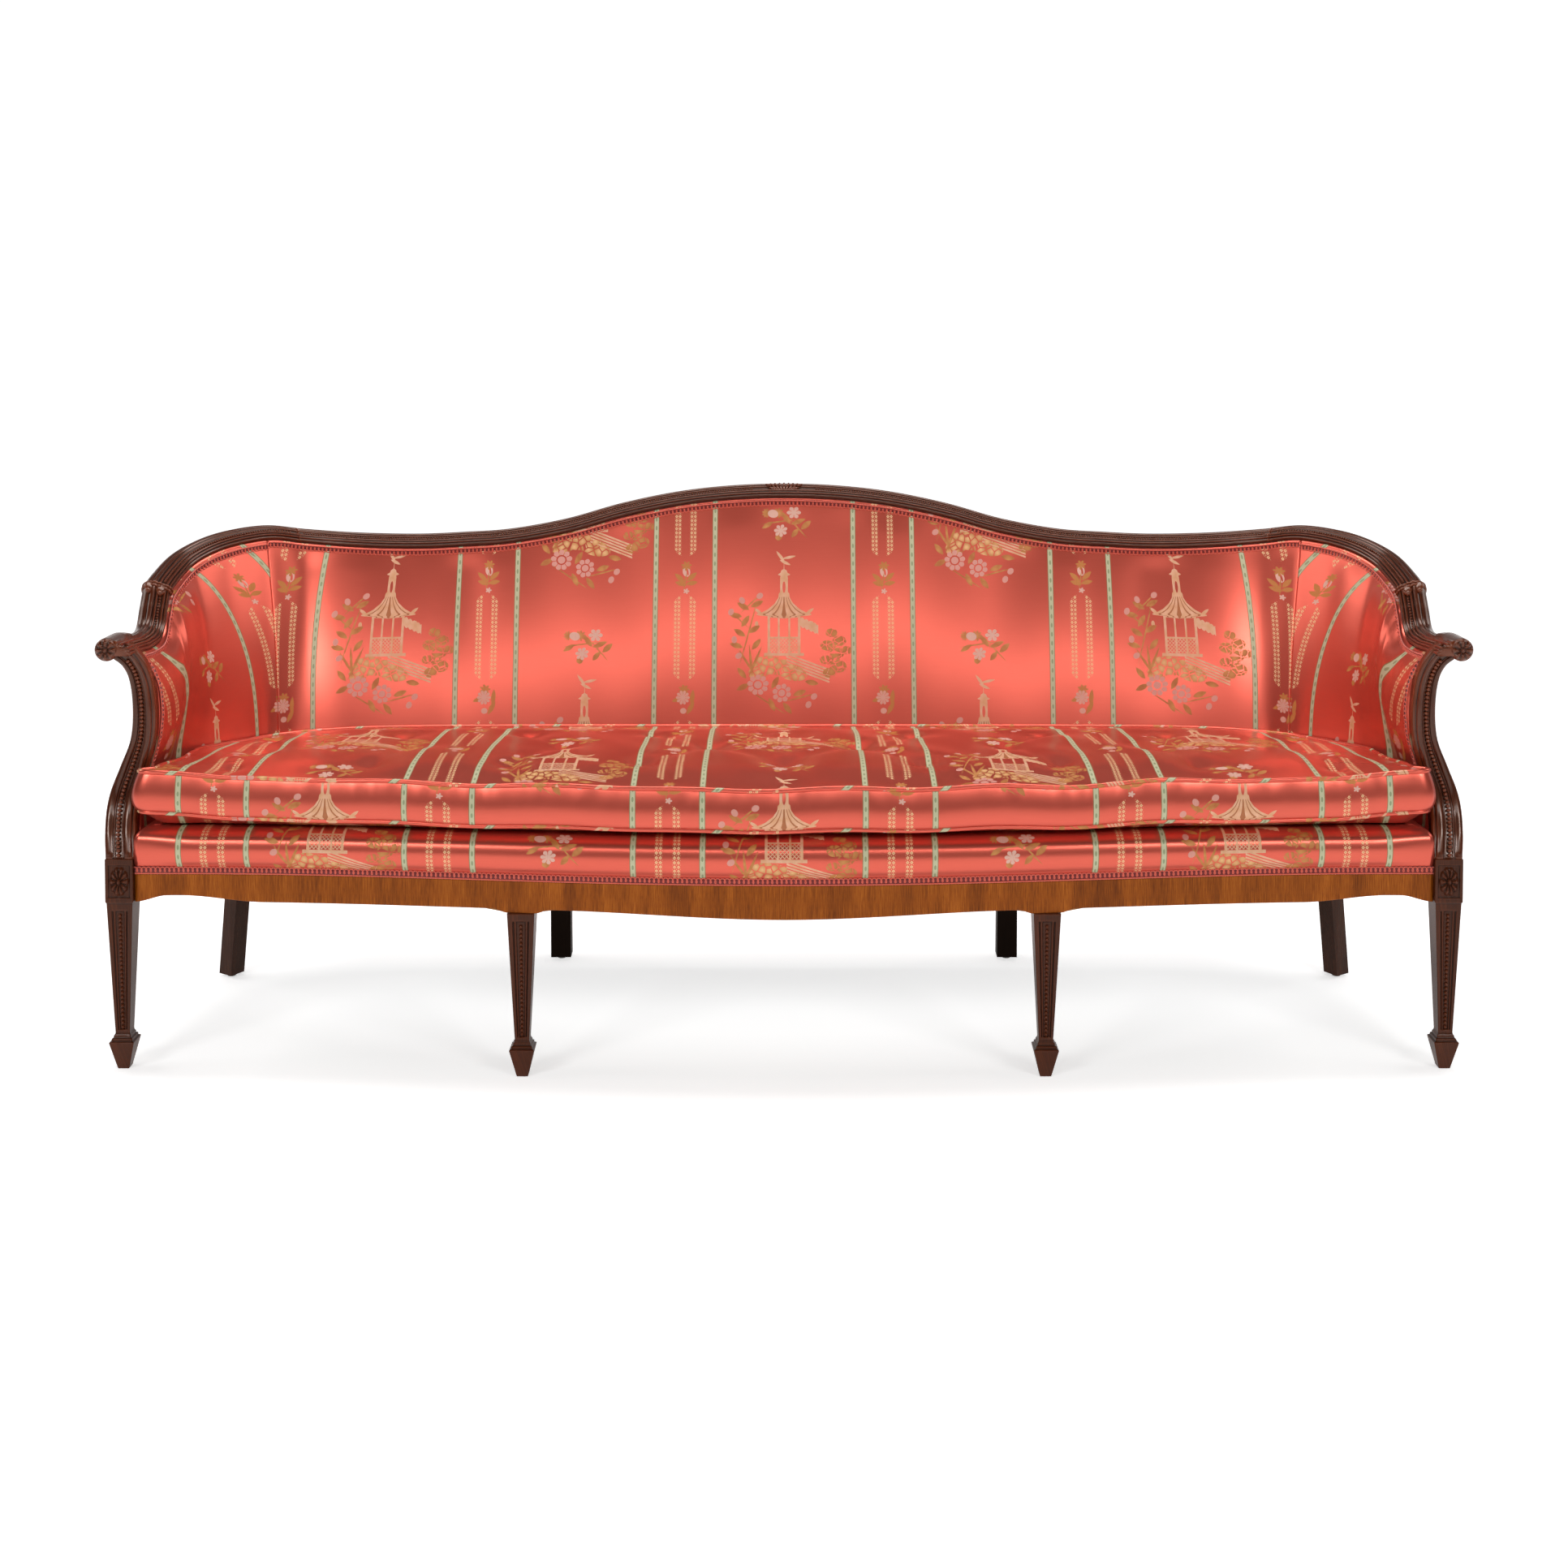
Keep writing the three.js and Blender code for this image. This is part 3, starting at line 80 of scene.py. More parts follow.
# %% Soft boxes in front, at both sides and overhead
def soft_box(name, place, aim, size, power):
    """A rectangle of light at a place, turned to its aim, with its size in metres and its watts."""
    light = bpy.data.lights.new(name, "AREA")
    light.shape = "RECTANGLE"
    light.size, light.size_y = size
    light.energy = power
    box = bpy.data.objects.new(name, light)
    box.location = place
    away = np.array(place) - np.array(aim)
    box.rotation_euler = (
        math.atan2(math.hypot(away[0], away[1]), away[2]),
        0,
        math.atan2(away[0], -away[1]),
    )
    bpy.context.scene.collection.objects.link(box)


soft_box("soft_box_left", (-3.3, -4.4, 3.1), (0, 0, 0.5), (1.9, 0.8), 80)
soft_box("soft_box_right", (3.3, -4.4, 3.1), (0, 0, 0.5), (1.9, 0.8), 76)
soft_box("soft_box_front", (0, -6.2, 3.4), (0, 0, 0.6), (4.6, 0.7), 58)
soft_box("side_wall_left", (-3.4, 0.3, 2.3), (0.5, 0.1, 0.6), (2.2, 1.2), 24)
soft_box("side_wall_right", (3.4, 0.3, 2.3), (-0.5, 0.1, 0.6), (2.2, 1.2), 22)
soft_box("top_box", (0, 0.4, 3.4), (0, 0.1, 0), (3.4, 1.4), 90)
print("six soft boxes")

# %% [markdown]
# ## Curves that the whole sofa follows
#
# Seen from above, the back and the arms are one line that bends forward, and the crest is a second
# line over it. Both pass through stations from the middle of the back to the front of an arm. A
# spline through them gives any point, its direction, and the level direction into the sofa.

# %% Lines through stations
def lerp(a, b, share):
    return a + (b - a) * share


def smooth(x, start, end):
    share = np.clip((x - start) / (end - start), 0, 1)
    return share * share * (3 - 2 * share)


def unit(v):
    return v / np.linalg.norm(v, axis=-1, keepdims=True)


class Line:
    """A smooth line through points: each stretch eases by the root of its chord."""

    def __init__(self, points):
        p = np.asarray(points, float)
        self.points = np.vstack([2 * p[0] - p[1], p, 2 * p[-1] - p[-2]])

    def at(self, share):
        """Points at shares of the way from the first station to the last."""
        share = np.clip(np.asarray(share, float), 0, 1) * (len(self.points) - 3)
        i = np.minimum(share.astype(int), len(self.points) - 4)
        w = (share - i)[..., None]
        a, b, c, d = (self.points[i + k] for k in range(4))
        ab, bc, cd = (
            np.sqrt(np.linalg.norm(q - p, axis=-1, keepdims=True))
            for p, q in ((a, b), (b, c), (c, d))
        )
        m = ((b - a) / ab - (c - a) / (ab + bc) + (c - b) / bc) * bc
        n = ((c - b) / bc - (d - b) / (bc + cd) + (d - c) / cd) * bc
        return b + m * w + (3 * c - 3 * b - 2 * m - n) * w**2 + (2 * b - 2 * c + m + n) * w**3

    def along(self, share):
        share = np.asarray(share, float)
        return unit(self.at(share + 1e-4) - self.at(share - 1e-4))


# Shares for the outer top edge of the crest (of its half width, of its way from front to back, of
# its rise from arm to hump), then for the rails' outer face (of their half width and depth).
STATIONS = np.array([
    [0, 1, 1, 0, 1],
    [0.094, 0.999, 0.981, 0.093, 1],
    [0.183, 0.995, 0.925, 0.182, 1],
    [0.281, 0.99, 0.812, 0.28, 0.999],
    [0.379, 0.986, 0.656, 0.377, 0.998],
    [0.48, 0.981, 0.554, 0.479, 0.995],
    [0.553, 0.977, 0.527, 0.553, 0.993],
    [0.628, 0.97, 0.511, 0.627, 0.987],
    [0.735, 0.945, 0.532, 0.736, 0.964],
    [0.829, 0.881, 0.597, 0.827, 0.912],
    [0.882, 0.816, 0.656, 0.875, 0.861],
    [0.919, 0.749, 0.656, 0.908, 0.807],
    [0.957, 0.657, 0.618, 0.941, 0.71],
    [0.99, 0.556, 0.516, 0.966, 0.6],
    [1, 0.462, 0.409, 0.979, 0.504],
    [1.001, 0.385, 0.312, 0.987, 0.423],
    [1, 0.346, 0.151, 0.99, 0.38],
    [0.998, 0.306, -0.011, 0.993, 0.336],
    [0.995, 0.229, -0.038, 0.996, 0.254],
    [0.992, 0.125, -0.011, 0.999, 0.135],
    [0.987, 0.019, 0.022, 1, 0.024],
])
SIDES = ((-1, "left"), (1, "right"))

# Stations of the arm's front end, of the seam between back and arm, of the joint at the end of the
# crest rail, and of the knot where the crest's corner laps over the arm rail.
LAST, SEAM, CREST_JOINT, KNOT = 20, 10.3, 9.2, 15

# Places in metres. FRONT is the front of the outer leg blocks, FACE_Y that of the rail beside
# them, and CUSHION_EDGE that of the cushion at its ends.
FRONT, FACE_Y, CUSHION_EDGE = -0.314 + shift, -0.304 + shift, -0.303 + shift
CREST_HALF, CREST_BACK, ARM_TOP, CREST_TOP = 1.066, 0.359 + shift, 0.664, 0.85
RAIL_HALF, RAIL_BACK, RAIL_TOP = 1.044, 0.234 + shift, 0.307
LEG_X, INNER_LEG_X, HALF_BLOCK = 1.0275, 0.403, 0.0215


def crest_points(side):
    x, y, z = STATIONS[:, :3].T
    return np.stack(
        [side * x * CREST_HALF, lerp(FRONT, CREST_BACK, y), lerp(ARM_TOP, CREST_TOP, z)], 1
    )


def rail_points(side):
    x, y = STATIONS[:, 3:].T
    return np.stack([side * x * RAIL_HALF, lerp(FRONT, RAIL_BACK, y), 0 * x + RAIL_TOP], 1)


def round_line(points):
    return Line(np.vstack([points(-1)[1:][::-1], points(1)]))


crest_line = round_line(crest_points)
rail_line = round_line(rail_points)
print("crest top", crest_line.at(0.5).round(4))

# %% Frames along the lines, and places in the walls
def share_of(station):
    return (np.asarray(station, float) + LAST) / (2 * LAST)


def inward_of(direction):
    return unit(np.stack([direction[..., 1], -direction[..., 0], 0 * direction[..., 0]], -1))


def crest_frame(station):
    direction = crest_line.along(share_of(station))
    inward = inward_of(direction)
    return crest_line.at(share_of(station)), inward, unit(np.cross(inward, direction)), direction


def rail_frame(station):
    return rail_line.at(share_of(station)), inward_of(rail_line.along(share_of(station)))


def arm_share(station):
    return smooth(np.abs(station), SEAM + 1, KNOT + 1)


SWAY = np.array([
    [0, 0], [0.16, 0.28], [0.29, 0.32], [0.36, 0.2], [0.48, -0.32],
    [0.6, -0.8], [0.72, -1], [0.83, -0.95], [0.92, -0.66], [1, 0],
])
# The table runs on upside down past both ends, so that softening it leaves the ends in place.
SWAY_HEIGHTS = np.linspace(-0.2, 1.2, 701)
SWAY_TABLE = np.interp(SWAY_HEIGHTS, SWAY[:, 0], SWAY[:, 1])
SWAY_TABLE[SWAY_HEIGHTS < 0] = -SWAY_TABLE[SWAY_HEIGHTS > 0][:100][::-1]
SWAY_TABLE[SWAY_HEIGHTS > 1] = -SWAY_TABLE[SWAY_HEIGHTS < 1][-100:][::-1]
soften = np.exp(-((np.arange(-40, 41) / 16) ** 2))
SWAY_TABLE = np.convolve(SWAY_TABLE, soften / soften.sum(), "same")


def sway_at(height):
    """How far the arm bends sideways at a share of its height, as one soft curve."""
    return np.interp(height, SWAY_HEIGHTS, SWAY_TABLE)


WALL_BASE = RAIL_TOP + 0.0025
WALL_DROP = 0.02395  # from the top edge of the show wood down to the silk's top
BACK_THICK, ARM_THICK, TOP_THICK = 0.066, 0.043, 0.042


def wall(station, height, thickness=0.0, further=0.0):
    """A place in the back or an arm: a station, a share of the height, a share of the thickness
    from the inside to the outside, and a distance further out."""
    station, height = np.broadcast_arrays(np.asarray(station, float), np.asarray(height, float))
    edge, inward, up, _ = crest_frame(station)
    top = edge - up * WALL_DROP
    foot, foot_in = rail_frame(station)
    arm = arm_share(station)
    low = foot.copy()
    low[..., 2] = WALL_BASE
    rise = height[..., None]
    foot_thick = lerp(BACK_THICK, ARM_THICK, arm)[..., None]
    inside = lerp(low + foot_in * foot_thick, top + inward * TOP_THICK, rise)
    outside = lerp(low, top, rise)
    sway = (0.028 * arm * sway_at(height))[..., None]
    belly = (0.014 * (1 - arm) * np.sin(np.pi * height))[..., None]
    inside = inside + inward * (belly - sway)
    outside = outside - inward * sway
    through = outside - inside
    reach = np.linalg.norm(through, axis=-1, keepdims=True)
    depth = reach * np.asarray(thickness)[..., None] + np.asarray(further)[..., None]
    return inside + through / reach * depth


print("inside of the back at mid height", wall(0, 0.5).round(4))

# %% [markdown]
# ## Meshes from rows of points
#
# Nearly every piece is a curved skin, so one helper turns rows of points into a mesh with a UV map
# in metres. Rows that meet are welded, and the UV map keeps its own value at each face corner, so
# a closed shape shades smoothly while its pattern still has a seam where the cloth has one.

# %% Skins, caps, tubes and copies
def distance_along(points):
    """How far each row of points is from the first one, along the way."""
    return np.linalg.norm(np.diff(points, axis=0, prepend=points[:1]), axis=-1).cumsum(0)


def resample(rows, old, new):
    return np.stack([np.interp(new, old, column) for column in rows.T], 1)


def patch(points, chart=None):
    """Rows of points as (points, quads, UV map). With no chart, the map measures the surface."""
    points = np.asarray(points, float)
    if chart is None:
        chart = np.stack([distance_along(points.swapaxes(0, 1)).T, distance_along(points)], -1)
    rows, cols = points.shape[:2]
    corner = np.arange(rows * cols).reshape(rows, cols)
    quads = np.stack(
        [corner[:-1, :-1], corner[:-1, 1:], corner[1:, 1:], corner[1:, :-1]], -1
    ).reshape(-1, 4)
    return points.reshape(-1, 3), quads, np.asarray(chart, float).reshape(-1, 2)


def cap(ring):
    """Closes a ring with a fan round its middle."""
    ring = np.asarray(ring, float)
    middle = np.repeat(ring.mean(0)[None], len(ring), 0)
    return patch(np.stack([ring, middle]))


def capped(points, chart=None):
    """A patch whose rows are closed rings, with a cap on its first and on its last row."""
    return [patch(points, chart), cap(points[0, :-1]), cap(points[-1, :-1])]


WELD = 2e-6


def skin(name, patches, finish):
    """One mesh from patches: points that meet are welded, and each corner keeps its own UV."""
    points, faces, charts, start = [], [], [], 0
    for place, quads, chart in patches:
        points.append(place)
        faces.append(quads + start)
        charts.append(chart)
        start += len(place)
    points, faces, charts = np.concatenate(points), np.concatenate(faces), np.concatenate(charts)
    _, first, group = np.unique(
        np.round(points / WELD).astype(np.int64), axis=0, return_index=True, return_inverse=True
    )
    group = group.reshape(-1)
    welded = group[faces]
    kept, corners = [], []
    for face, source in zip(welded.tolist(), faces.tolist()):
        ring = [(v, s) for i, (v, s) in enumerate(zip(face, source)) if v != face[i - 1]]
        if len({v for v, _ in ring}) < 3:
            continue
        kept.append([v for v, _ in ring])
        corners += [s for _, s in ring]
    mesh = bpy.data.meshes.new(name)
    mesh.from_pydata(points[first].tolist(), [], kept)
    mesh.uv_layers.new(name="weave").data.foreach_set("uv", charts[corners].ravel())
    mesh.shade_smooth()
    mesh.materials.append(finish)
    thing = bpy.data.objects.new(name, mesh)
    bpy.context.scene.collection.objects.link(thing)
    return outward(thing)


def outward(thing):
    """Turns the faces of a closed skin to the outside."""
    work = bmesh.new()
    work.from_mesh(thing.data)
    bmesh.ops.recalc_face_normals(work, faces=work.faces)
    work.to_mesh(thing.data)
    work.free()
    return thing


def tube(path, radius, sides=8, up=(0, 0, 1), closed=False, chart=None):
    """A cord along a path. The UV map runs round it and along it, in metres."""
    path = np.asarray(path, float)
    if closed:
        path = np.vstack([path, path[:1]])
        ahead = np.roll(path[:-1], -1, 0) - np.roll(path[:-1], 1, 0)
        ahead = np.vstack([ahead, ahead[:1]])
    else:
        ahead = np.gradient(path, axis=0)
    ahead = unit(ahead)
    up = np.broadcast_to(np.asarray(up, float), path.shape)
    aside = unit(np.cross(up, ahead))
    over = np.cross(ahead, aside)
    turn = np.linspace(0, 2 * np.pi, sides + 1)
    radius = np.broadcast_to(np.asarray(radius, float), len(path))[:, None, None]
    cos, sin = np.cos(turn)[None, :, None], np.sin(turn)[None, :, None]
    points = path[:, None] + radius * (cos * aside[:, None] + sin * over[:, None])
    if chart is None:
        round_it, along_it = turn * float(radius.mean()), distance_along(path)[:, None]
        chart = np.stack(np.broadcast_arrays(round_it, along_it), -1)
    return [patch(points, chart)] if closed else capped(points, chart)


def ball(rings=5, sides=9):
    """A unit ball as a patch to copy."""
    fall = np.linspace(0, np.pi, rings + 1)[:, None]
    turn = np.linspace(0, 2 * np.pi, sides + 1)[None]
    return np.stack(
        [np.sin(fall) * np.cos(turn), np.sin(fall) * np.sin(turn), np.cos(fall) + 0 * turn], -1
    )


def copies(shape, centres, axes):
    """Copies of a unit shape, each with its own centre and its three axes, as patches."""
    points = np.einsum("rck,nkj->nrcj", shape, np.asarray(axes, float))
    points = points + np.asarray(centres, float)[:, None, None]
    return [patch(p) for p in points]


def even_steps(path, step):
    """The same path with even steps, and the distances of its new and of its old points."""
    path = np.asarray(path, float)
    length = distance_along(path)
    count = max(2, int(round(length[-1] / step)))
    marks = np.linspace(0, length[-1], count + 1)
    return resample(path, length, marks), marks, length


def wander(x, seed, waves=5, low=1.0, high=4.0):
    """A smooth irregular wave between about -1 and 1."""
    rng = np.random.default_rng(seed)
    total = 0
    for k in range(waves):
        rate = lerp(low, high, k / max(1, waves - 1)) * rng.uniform(0.85, 1.15)
        total = total + np.sin(2 * np.pi * (rate * x + rng.uniform())) / waves**0.5
    return total


def dress(thing, slot, *replaced, body="frame"):
    """Hands a piece to the frame: what it rides on, and what it stands for. slot is not used."""
    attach(thing, body)
    if replaced:
        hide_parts(*replaced)
    return thing


print("helpers ready")

# %% [markdown]
# ## Shader sums as plain Python
#
# A finish is a sum of masks and colours, which is tiring to read as boxes and wires. One small
# class wraps a socket, so that an ordinary Python expression adds the Math nodes, and one method
# adds any other node: its settings are set first, then its sockets get values or links.

# %% The value class and the node method
class Value:
    """A socket to use in sums. A comparison gives a mask, | joins masks and & cuts them."""

    def __init__(self, finish, socket):
        self.finish, self.socket = finish, socket

    def math(self, operation, *others):
        return self.finish.add("ShaderNodeMath", {"operation": operation}, [self, *others])

    def __add__(self, other):
        return self.math("ADD", other)

    def __sub__(self, other):
        return self.math("SUBTRACT", other)

    def __rsub__(self, other):
        return self.finish.add("ShaderNodeMath", {"operation": "SUBTRACT"}, [other, self])

    def __mul__(self, other):
        return self.math("MULTIPLY", other)

    def __truediv__(self, other):
        return self.math("DIVIDE", other)

    def __neg__(self):
        return self.math("MULTIPLY", -1)

    def __abs__(self):
        return self.math("ABSOLUTE")

    def __mod__(self, other):
        return self.math("FLOORED_MODULO", other)

    def __lt__(self, other):
        return self.math("LESS_THAN", other)

    def __gt__(self, other):
        return self.math("GREATER_THAN", other)

    def __or__(self, other):
        return self.math("MAXIMUM", other)

    def __and__(self, other):
        return self.math("MULTIPLY", other)

    __radd__ = __add__
    __rmul__ = __mul__

    def __getitem__(self, axis):
        return self.finish.add("ShaderNodeSeparateXYZ", {}, [self], out=axis)

    def length(self):
        return self.finish.add("ShaderNodeVectorMath", {"operation": "LENGTH"}, [self], out=1)


def tone(red, green, blue):
    """A colour from 0 to 255, as the linear colour that a shader takes."""
    def linear(c):
        return c / 12.92 if c <= 0.04045 else ((c + 0.055) / 1.055) ** 2.4

    return (*(linear(c / 255) for c in (red, green, blue)), 1.0)


class Finish:
    def __init__(self, name):
        self.material = bpy.data.materials.new(name)
        self.material.use_nodes = True
        self.tree = self.material.node_tree
        self.shader = self.tree.nodes["Principled BSDF"]

    def add(self, kind, settings, values, out=0):
        """Adds a node: its settings first, then its inputs, and the output that is wanted."""
        node = self.tree.nodes.new(kind)
        for key, setting in settings.items():
            if key == "stops":
                elements = node.color_ramp.elements
                while len(elements) < len(setting):
                    elements.new(0.5)
                for element, (place, color) in zip(elements, setting):
                    element.position, element.color = place, color
            elif key == "profile":
                points = node.mapping.curves[0].points
                while len(points) < len(setting):
                    points.new(0.5, 0.5)
                for point, (x, y) in zip(points, setting):
                    point.location, point.handle_type = (x, y), "VECTOR"
                node.mapping.update()
            else:
                setattr(node, key, setting)
        pairs = values.items() if isinstance(values, dict) else enumerate(values)
        for key, value in pairs:
            if isinstance(value, Value):
                self.tree.links.new(value.socket, node.inputs[key])
            else:
                node.inputs[key].default_value = value
        return Value(self, node.outputs[out])

    def mix(self, share, first, second):
        return self.add(
            "ShaderNodeMix", {"data_type": "RGBA"}, {0: share, 6: first, 7: second}, out=2
        )

    def set(self, **sockets):
        for key, value in sockets.items():
            name = key.replace("_", " ").title().replace("Ior", "IOR")  # sockets are in title case
            if isinstance(value, Value):
                self.tree.links.new(value.socket, self.shader.inputs[name])
            else:
                self.shader.inputs[name].default_value = value
        return self.material

    def bump(self, height, distance, strength=1.0):
        return self.add(
            "ShaderNodeBump", {}, {"Height": height, "Distance": distance, "Strength": strength}
        )

    def weave_place(self):
        return self.add("ShaderNodeUVMap", {"uv_map": "weave"}, [])

    def object_place(self):
        return self.add("ShaderNodeTexCoord", {}, [], out=3)

    def moved(self, place, by=(0, 0, 0), turn=0.0, size=(1, 1, 1)):
        return self.add(
            "ShaderNodeMapping", {"vector_type": "TEXTURE"}, [place, by, (0, 0, turn), size]
        )

    def noise(self, place, scale, detail=3.0, roughness=0.5):
        return self.add(
            "ShaderNodeTexNoise", {"noise_dimensions": "3D"},
            {"Vector": place, "Scale": scale, "Detail": detail, "Roughness": roughness},
        )


print("shader helpers ready")

# %% [markdown]
# ## Polished mahogany
#
# The show wood is dark red-brown with a thin shellac gloss. Its hollows carry painted shade, nearly
# black, and its edges a lighter red that is partly wear and partly painted highlight. Grain is noise
# stretched along the piece.
# The pieces made here carry a UV map in metres that runs along the grain, and a piece kept from the
# CAD work has none, so it takes its grain from its own coordinates.

# %% Wood finishes
def wood(name, deep, middle, light, grain_size=(0.0016, 0.05, 0.0016), on_map=True, edge_wear_highlight_and_hollow_shade=0.0,
         gloss=0.28, coat=0.5, shine=0.5):
    """Wood from three tones. grain_size is the size of a streak, in metres."""
    f = Finish(name)
    place = f.weave_place() if on_map else f.object_place()
    grain = f.noise(f.moved(place, size=grain_size), 1.0, 4.0, 0.6)
    cloud_size = tuple(25 * s for s in grain_size)
    cloud = f.noise(f.moved(place, (0.3, 0.1, 0.2), size=cloud_size), 1.0, 2.0)
    pores = f.noise(f.moved(place, size=tuple(0.32 * s for s in grain_size)), 1.0, 1.0) > 0.62
    color = f.add(
        "ShaderNodeValToRGB", {"stops": [(0.3, deep), (0.52, middle), (0.75, light)]},
        [grain * 0.6 + cloud * 0.4],
    )
    color = f.mix(pores * 0.35, color, deep)
    # Painted light from pointiness: raised edges turn lighter, partly wear and partly painted
    # highlight, and hollows turn nearly black (16, 8, 7) as painted shade.
    if edge_wear_highlight_and_hollow_shade:
        edge = f.add("ShaderNodeNewGeometry", {}, [], out=7)
        raised = f.add(
            "ShaderNodeMapRange", {}, {"Value": edge, "From Min": 0.5, "From Max": 0.56}
        )
        sunk = f.add(
            "ShaderNodeMapRange", {}, {"Value": edge, "From Min": 0.497, "From Max": 0.45}
        )
        color = f.mix(raised * edge_wear_highlight_and_hollow_shade, color, light)
        color = f.mix(sunk * 0.8, color, tone(16, 8, 7))
    return f.set(
        base_color=color,
        roughness=grain * 0.12 + (gloss - 0.06),
        specular_ior_level=shine,
        specular_tint=(0.95, 0.62, 0.46, 1),
        coat_weight=coat,
        coat_tint=(1.0, 0.88, 0.8, 1),
        coat_roughness=0.12,
        normal=f.bump(grain - pores * 0.6, 0.00012, 0.5),
    )


# The show wood and the front legs get the painted edge highlight and the painted shade in their
# hollows.
mahogany = wood(
    "polished_mahogany", tone(26, 10, 7), tone(62, 26, 14), tone(122, 56, 28), edge_wear_highlight_and_hollow_shade=0.55,
    gloss=0.28, coat=0.45,
)
leg_mahogany = wood(
    "leg_mahogany", tone(38, 16, 9), tone(64, 28, 14), tone(100, 47, 22), edge_wear_highlight_and_hollow_shade=0.4, gloss=0.36,
    coat=0.18, shine=0.25,
)
rear_leg_mahogany = wood(
    "rear_leg_mahogany", tone(30, 14, 8), tone(54, 26, 14), tone(84, 44, 24),
    grain_size=(0.0016, 0.0016, 0.06), on_map=False, gloss=0.42, coat=0.05, shine=0.2,
)
# A near-black copy of the rear leg wood for the inner rear legs: painted shade, for the shade under
# the seat.
painted_shade_rear_leg_mahogany = wood(
    "rear_leg_mahogany_painted_shade", tone(10, 5, 3), tone(18, 9, 6), tone(34, 18, 10),
    grain_size=(0.0016, 0.0016, 0.06), on_map=False, gloss=0.5, coat=0.0, shine=0.15,
)
facing = wood(
    "golden_mahogany_facing", tone(76, 32, 6), tone(142, 72, 15), tone(192, 110, 36),
    grain_size=(0.0012, 0.035, 0.0012), gloss=0.42, coat=0.05, shine=0.2,
)
side_rail_wood = wood(
    "side_rail_mahogany", tone(92, 46, 22), tone(124, 66, 30), tone(150, 86, 42),
    grain_size=(0.002, 0.06, 0.002), on_map=False, gloss=0.34, coat=0.4,
)
rear_rail_wood = wood(
    "rear_rail_mahogany", tone(64, 32, 17), tone(92, 48, 24), tone(118, 66, 34),
    grain_size=(0.06, 0.002, 0.002), on_map=False, gloss=0.4, coat=0.2, shine=0.3,
)
beech = wood(
    "beech_frame", tone(136, 98, 58), tone(172, 132, 84), tone(196, 160, 110),
    grain_size=(0.05, 0.002, 0.002), on_map=False, gloss=0.62, coat=0.0,
)
print("eight wood finishes")

# %% [markdown]
# ## Silk with woven figures
#
# The cover is a striped silk: a coral satin ground, pale green ribbons on either side of every
# wide stripe, two runs of little lattice in every narrow stripe, and a garden pavilion among
# flowers in the wide ones, dropped by half a repeat in every other stripe. Satin is bright only
# where it faces the light, and the figures are matt, so metallic and roughness follow the figure
# mask. The whole drawing is built from ovals, pointed leaves, petalled discs and one outline that
# a curve node gives as a half width for each height.
#
# The UV map is the flat cloth in metres: u across the stripes, from the middle of a wide one, and
# v up, from the tip of that stripe's pavilion.

# %% Drawing helpers for woven figures
REPEAT_ACROSS = 0.36
REPEAT_UP = 0.43


class Cloth(Finish):
    """Places are vectors (x, y, 1), so that one dot product moves, turns and scales an axis."""

    def place(self, x, y):
        return self.add("ShaderNodeCombineXYZ", {}, [x, y, 1.0])

    def axes(self, place, centre, size, turn):
        c, s = math.cos(math.radians(turn)), math.sin(math.radians(turn))
        rows = ((c, s, -c * centre[0] - s * centre[1]), (-s, c, s * centre[0] - c * centre[1]))
        return [
            self.add(
                "ShaderNodeVectorMath", {"operation": "DOT_PRODUCT"},
                [place, tuple(value / across for value in row)], out=1,
            )
            for row, across in zip(rows, size)
        ]

    def oval(self, place, centre, size, turn=0.0):
        x, y = self.axes(place, centre, size, turn)
        return (x * x).math("ADD", y * y) < 1.0

    def leaf(self, place, centre, size, turn=0.0):
        x, y = self.axes(place, centre, size, turn)
        return x * x + abs(y) < 1.0

    def petals(self, place, centre, size, count, turn=0.0, depth=0.3):
        """A petalled disc, and the thin lines between its petals."""
        x, y = self.axes(place, centre, size, turn)
        reach = (x * x + y * y).math("SQRT")
        ripple = abs((y.math("ARCTAN2", x) * (count / 2)).math("COSINE"))
        disc = reach < ripple * depth + (1.0 - depth)
        return disc, (ripple < 0.22) & (reach > 0.35), reach


def many(masks):
    total = masks[0]
    for mask in masks[1:]:
        total = total | mask
    return total


print("cloth repeat", REPEAT_ACROSS, "by", REPEAT_UP)

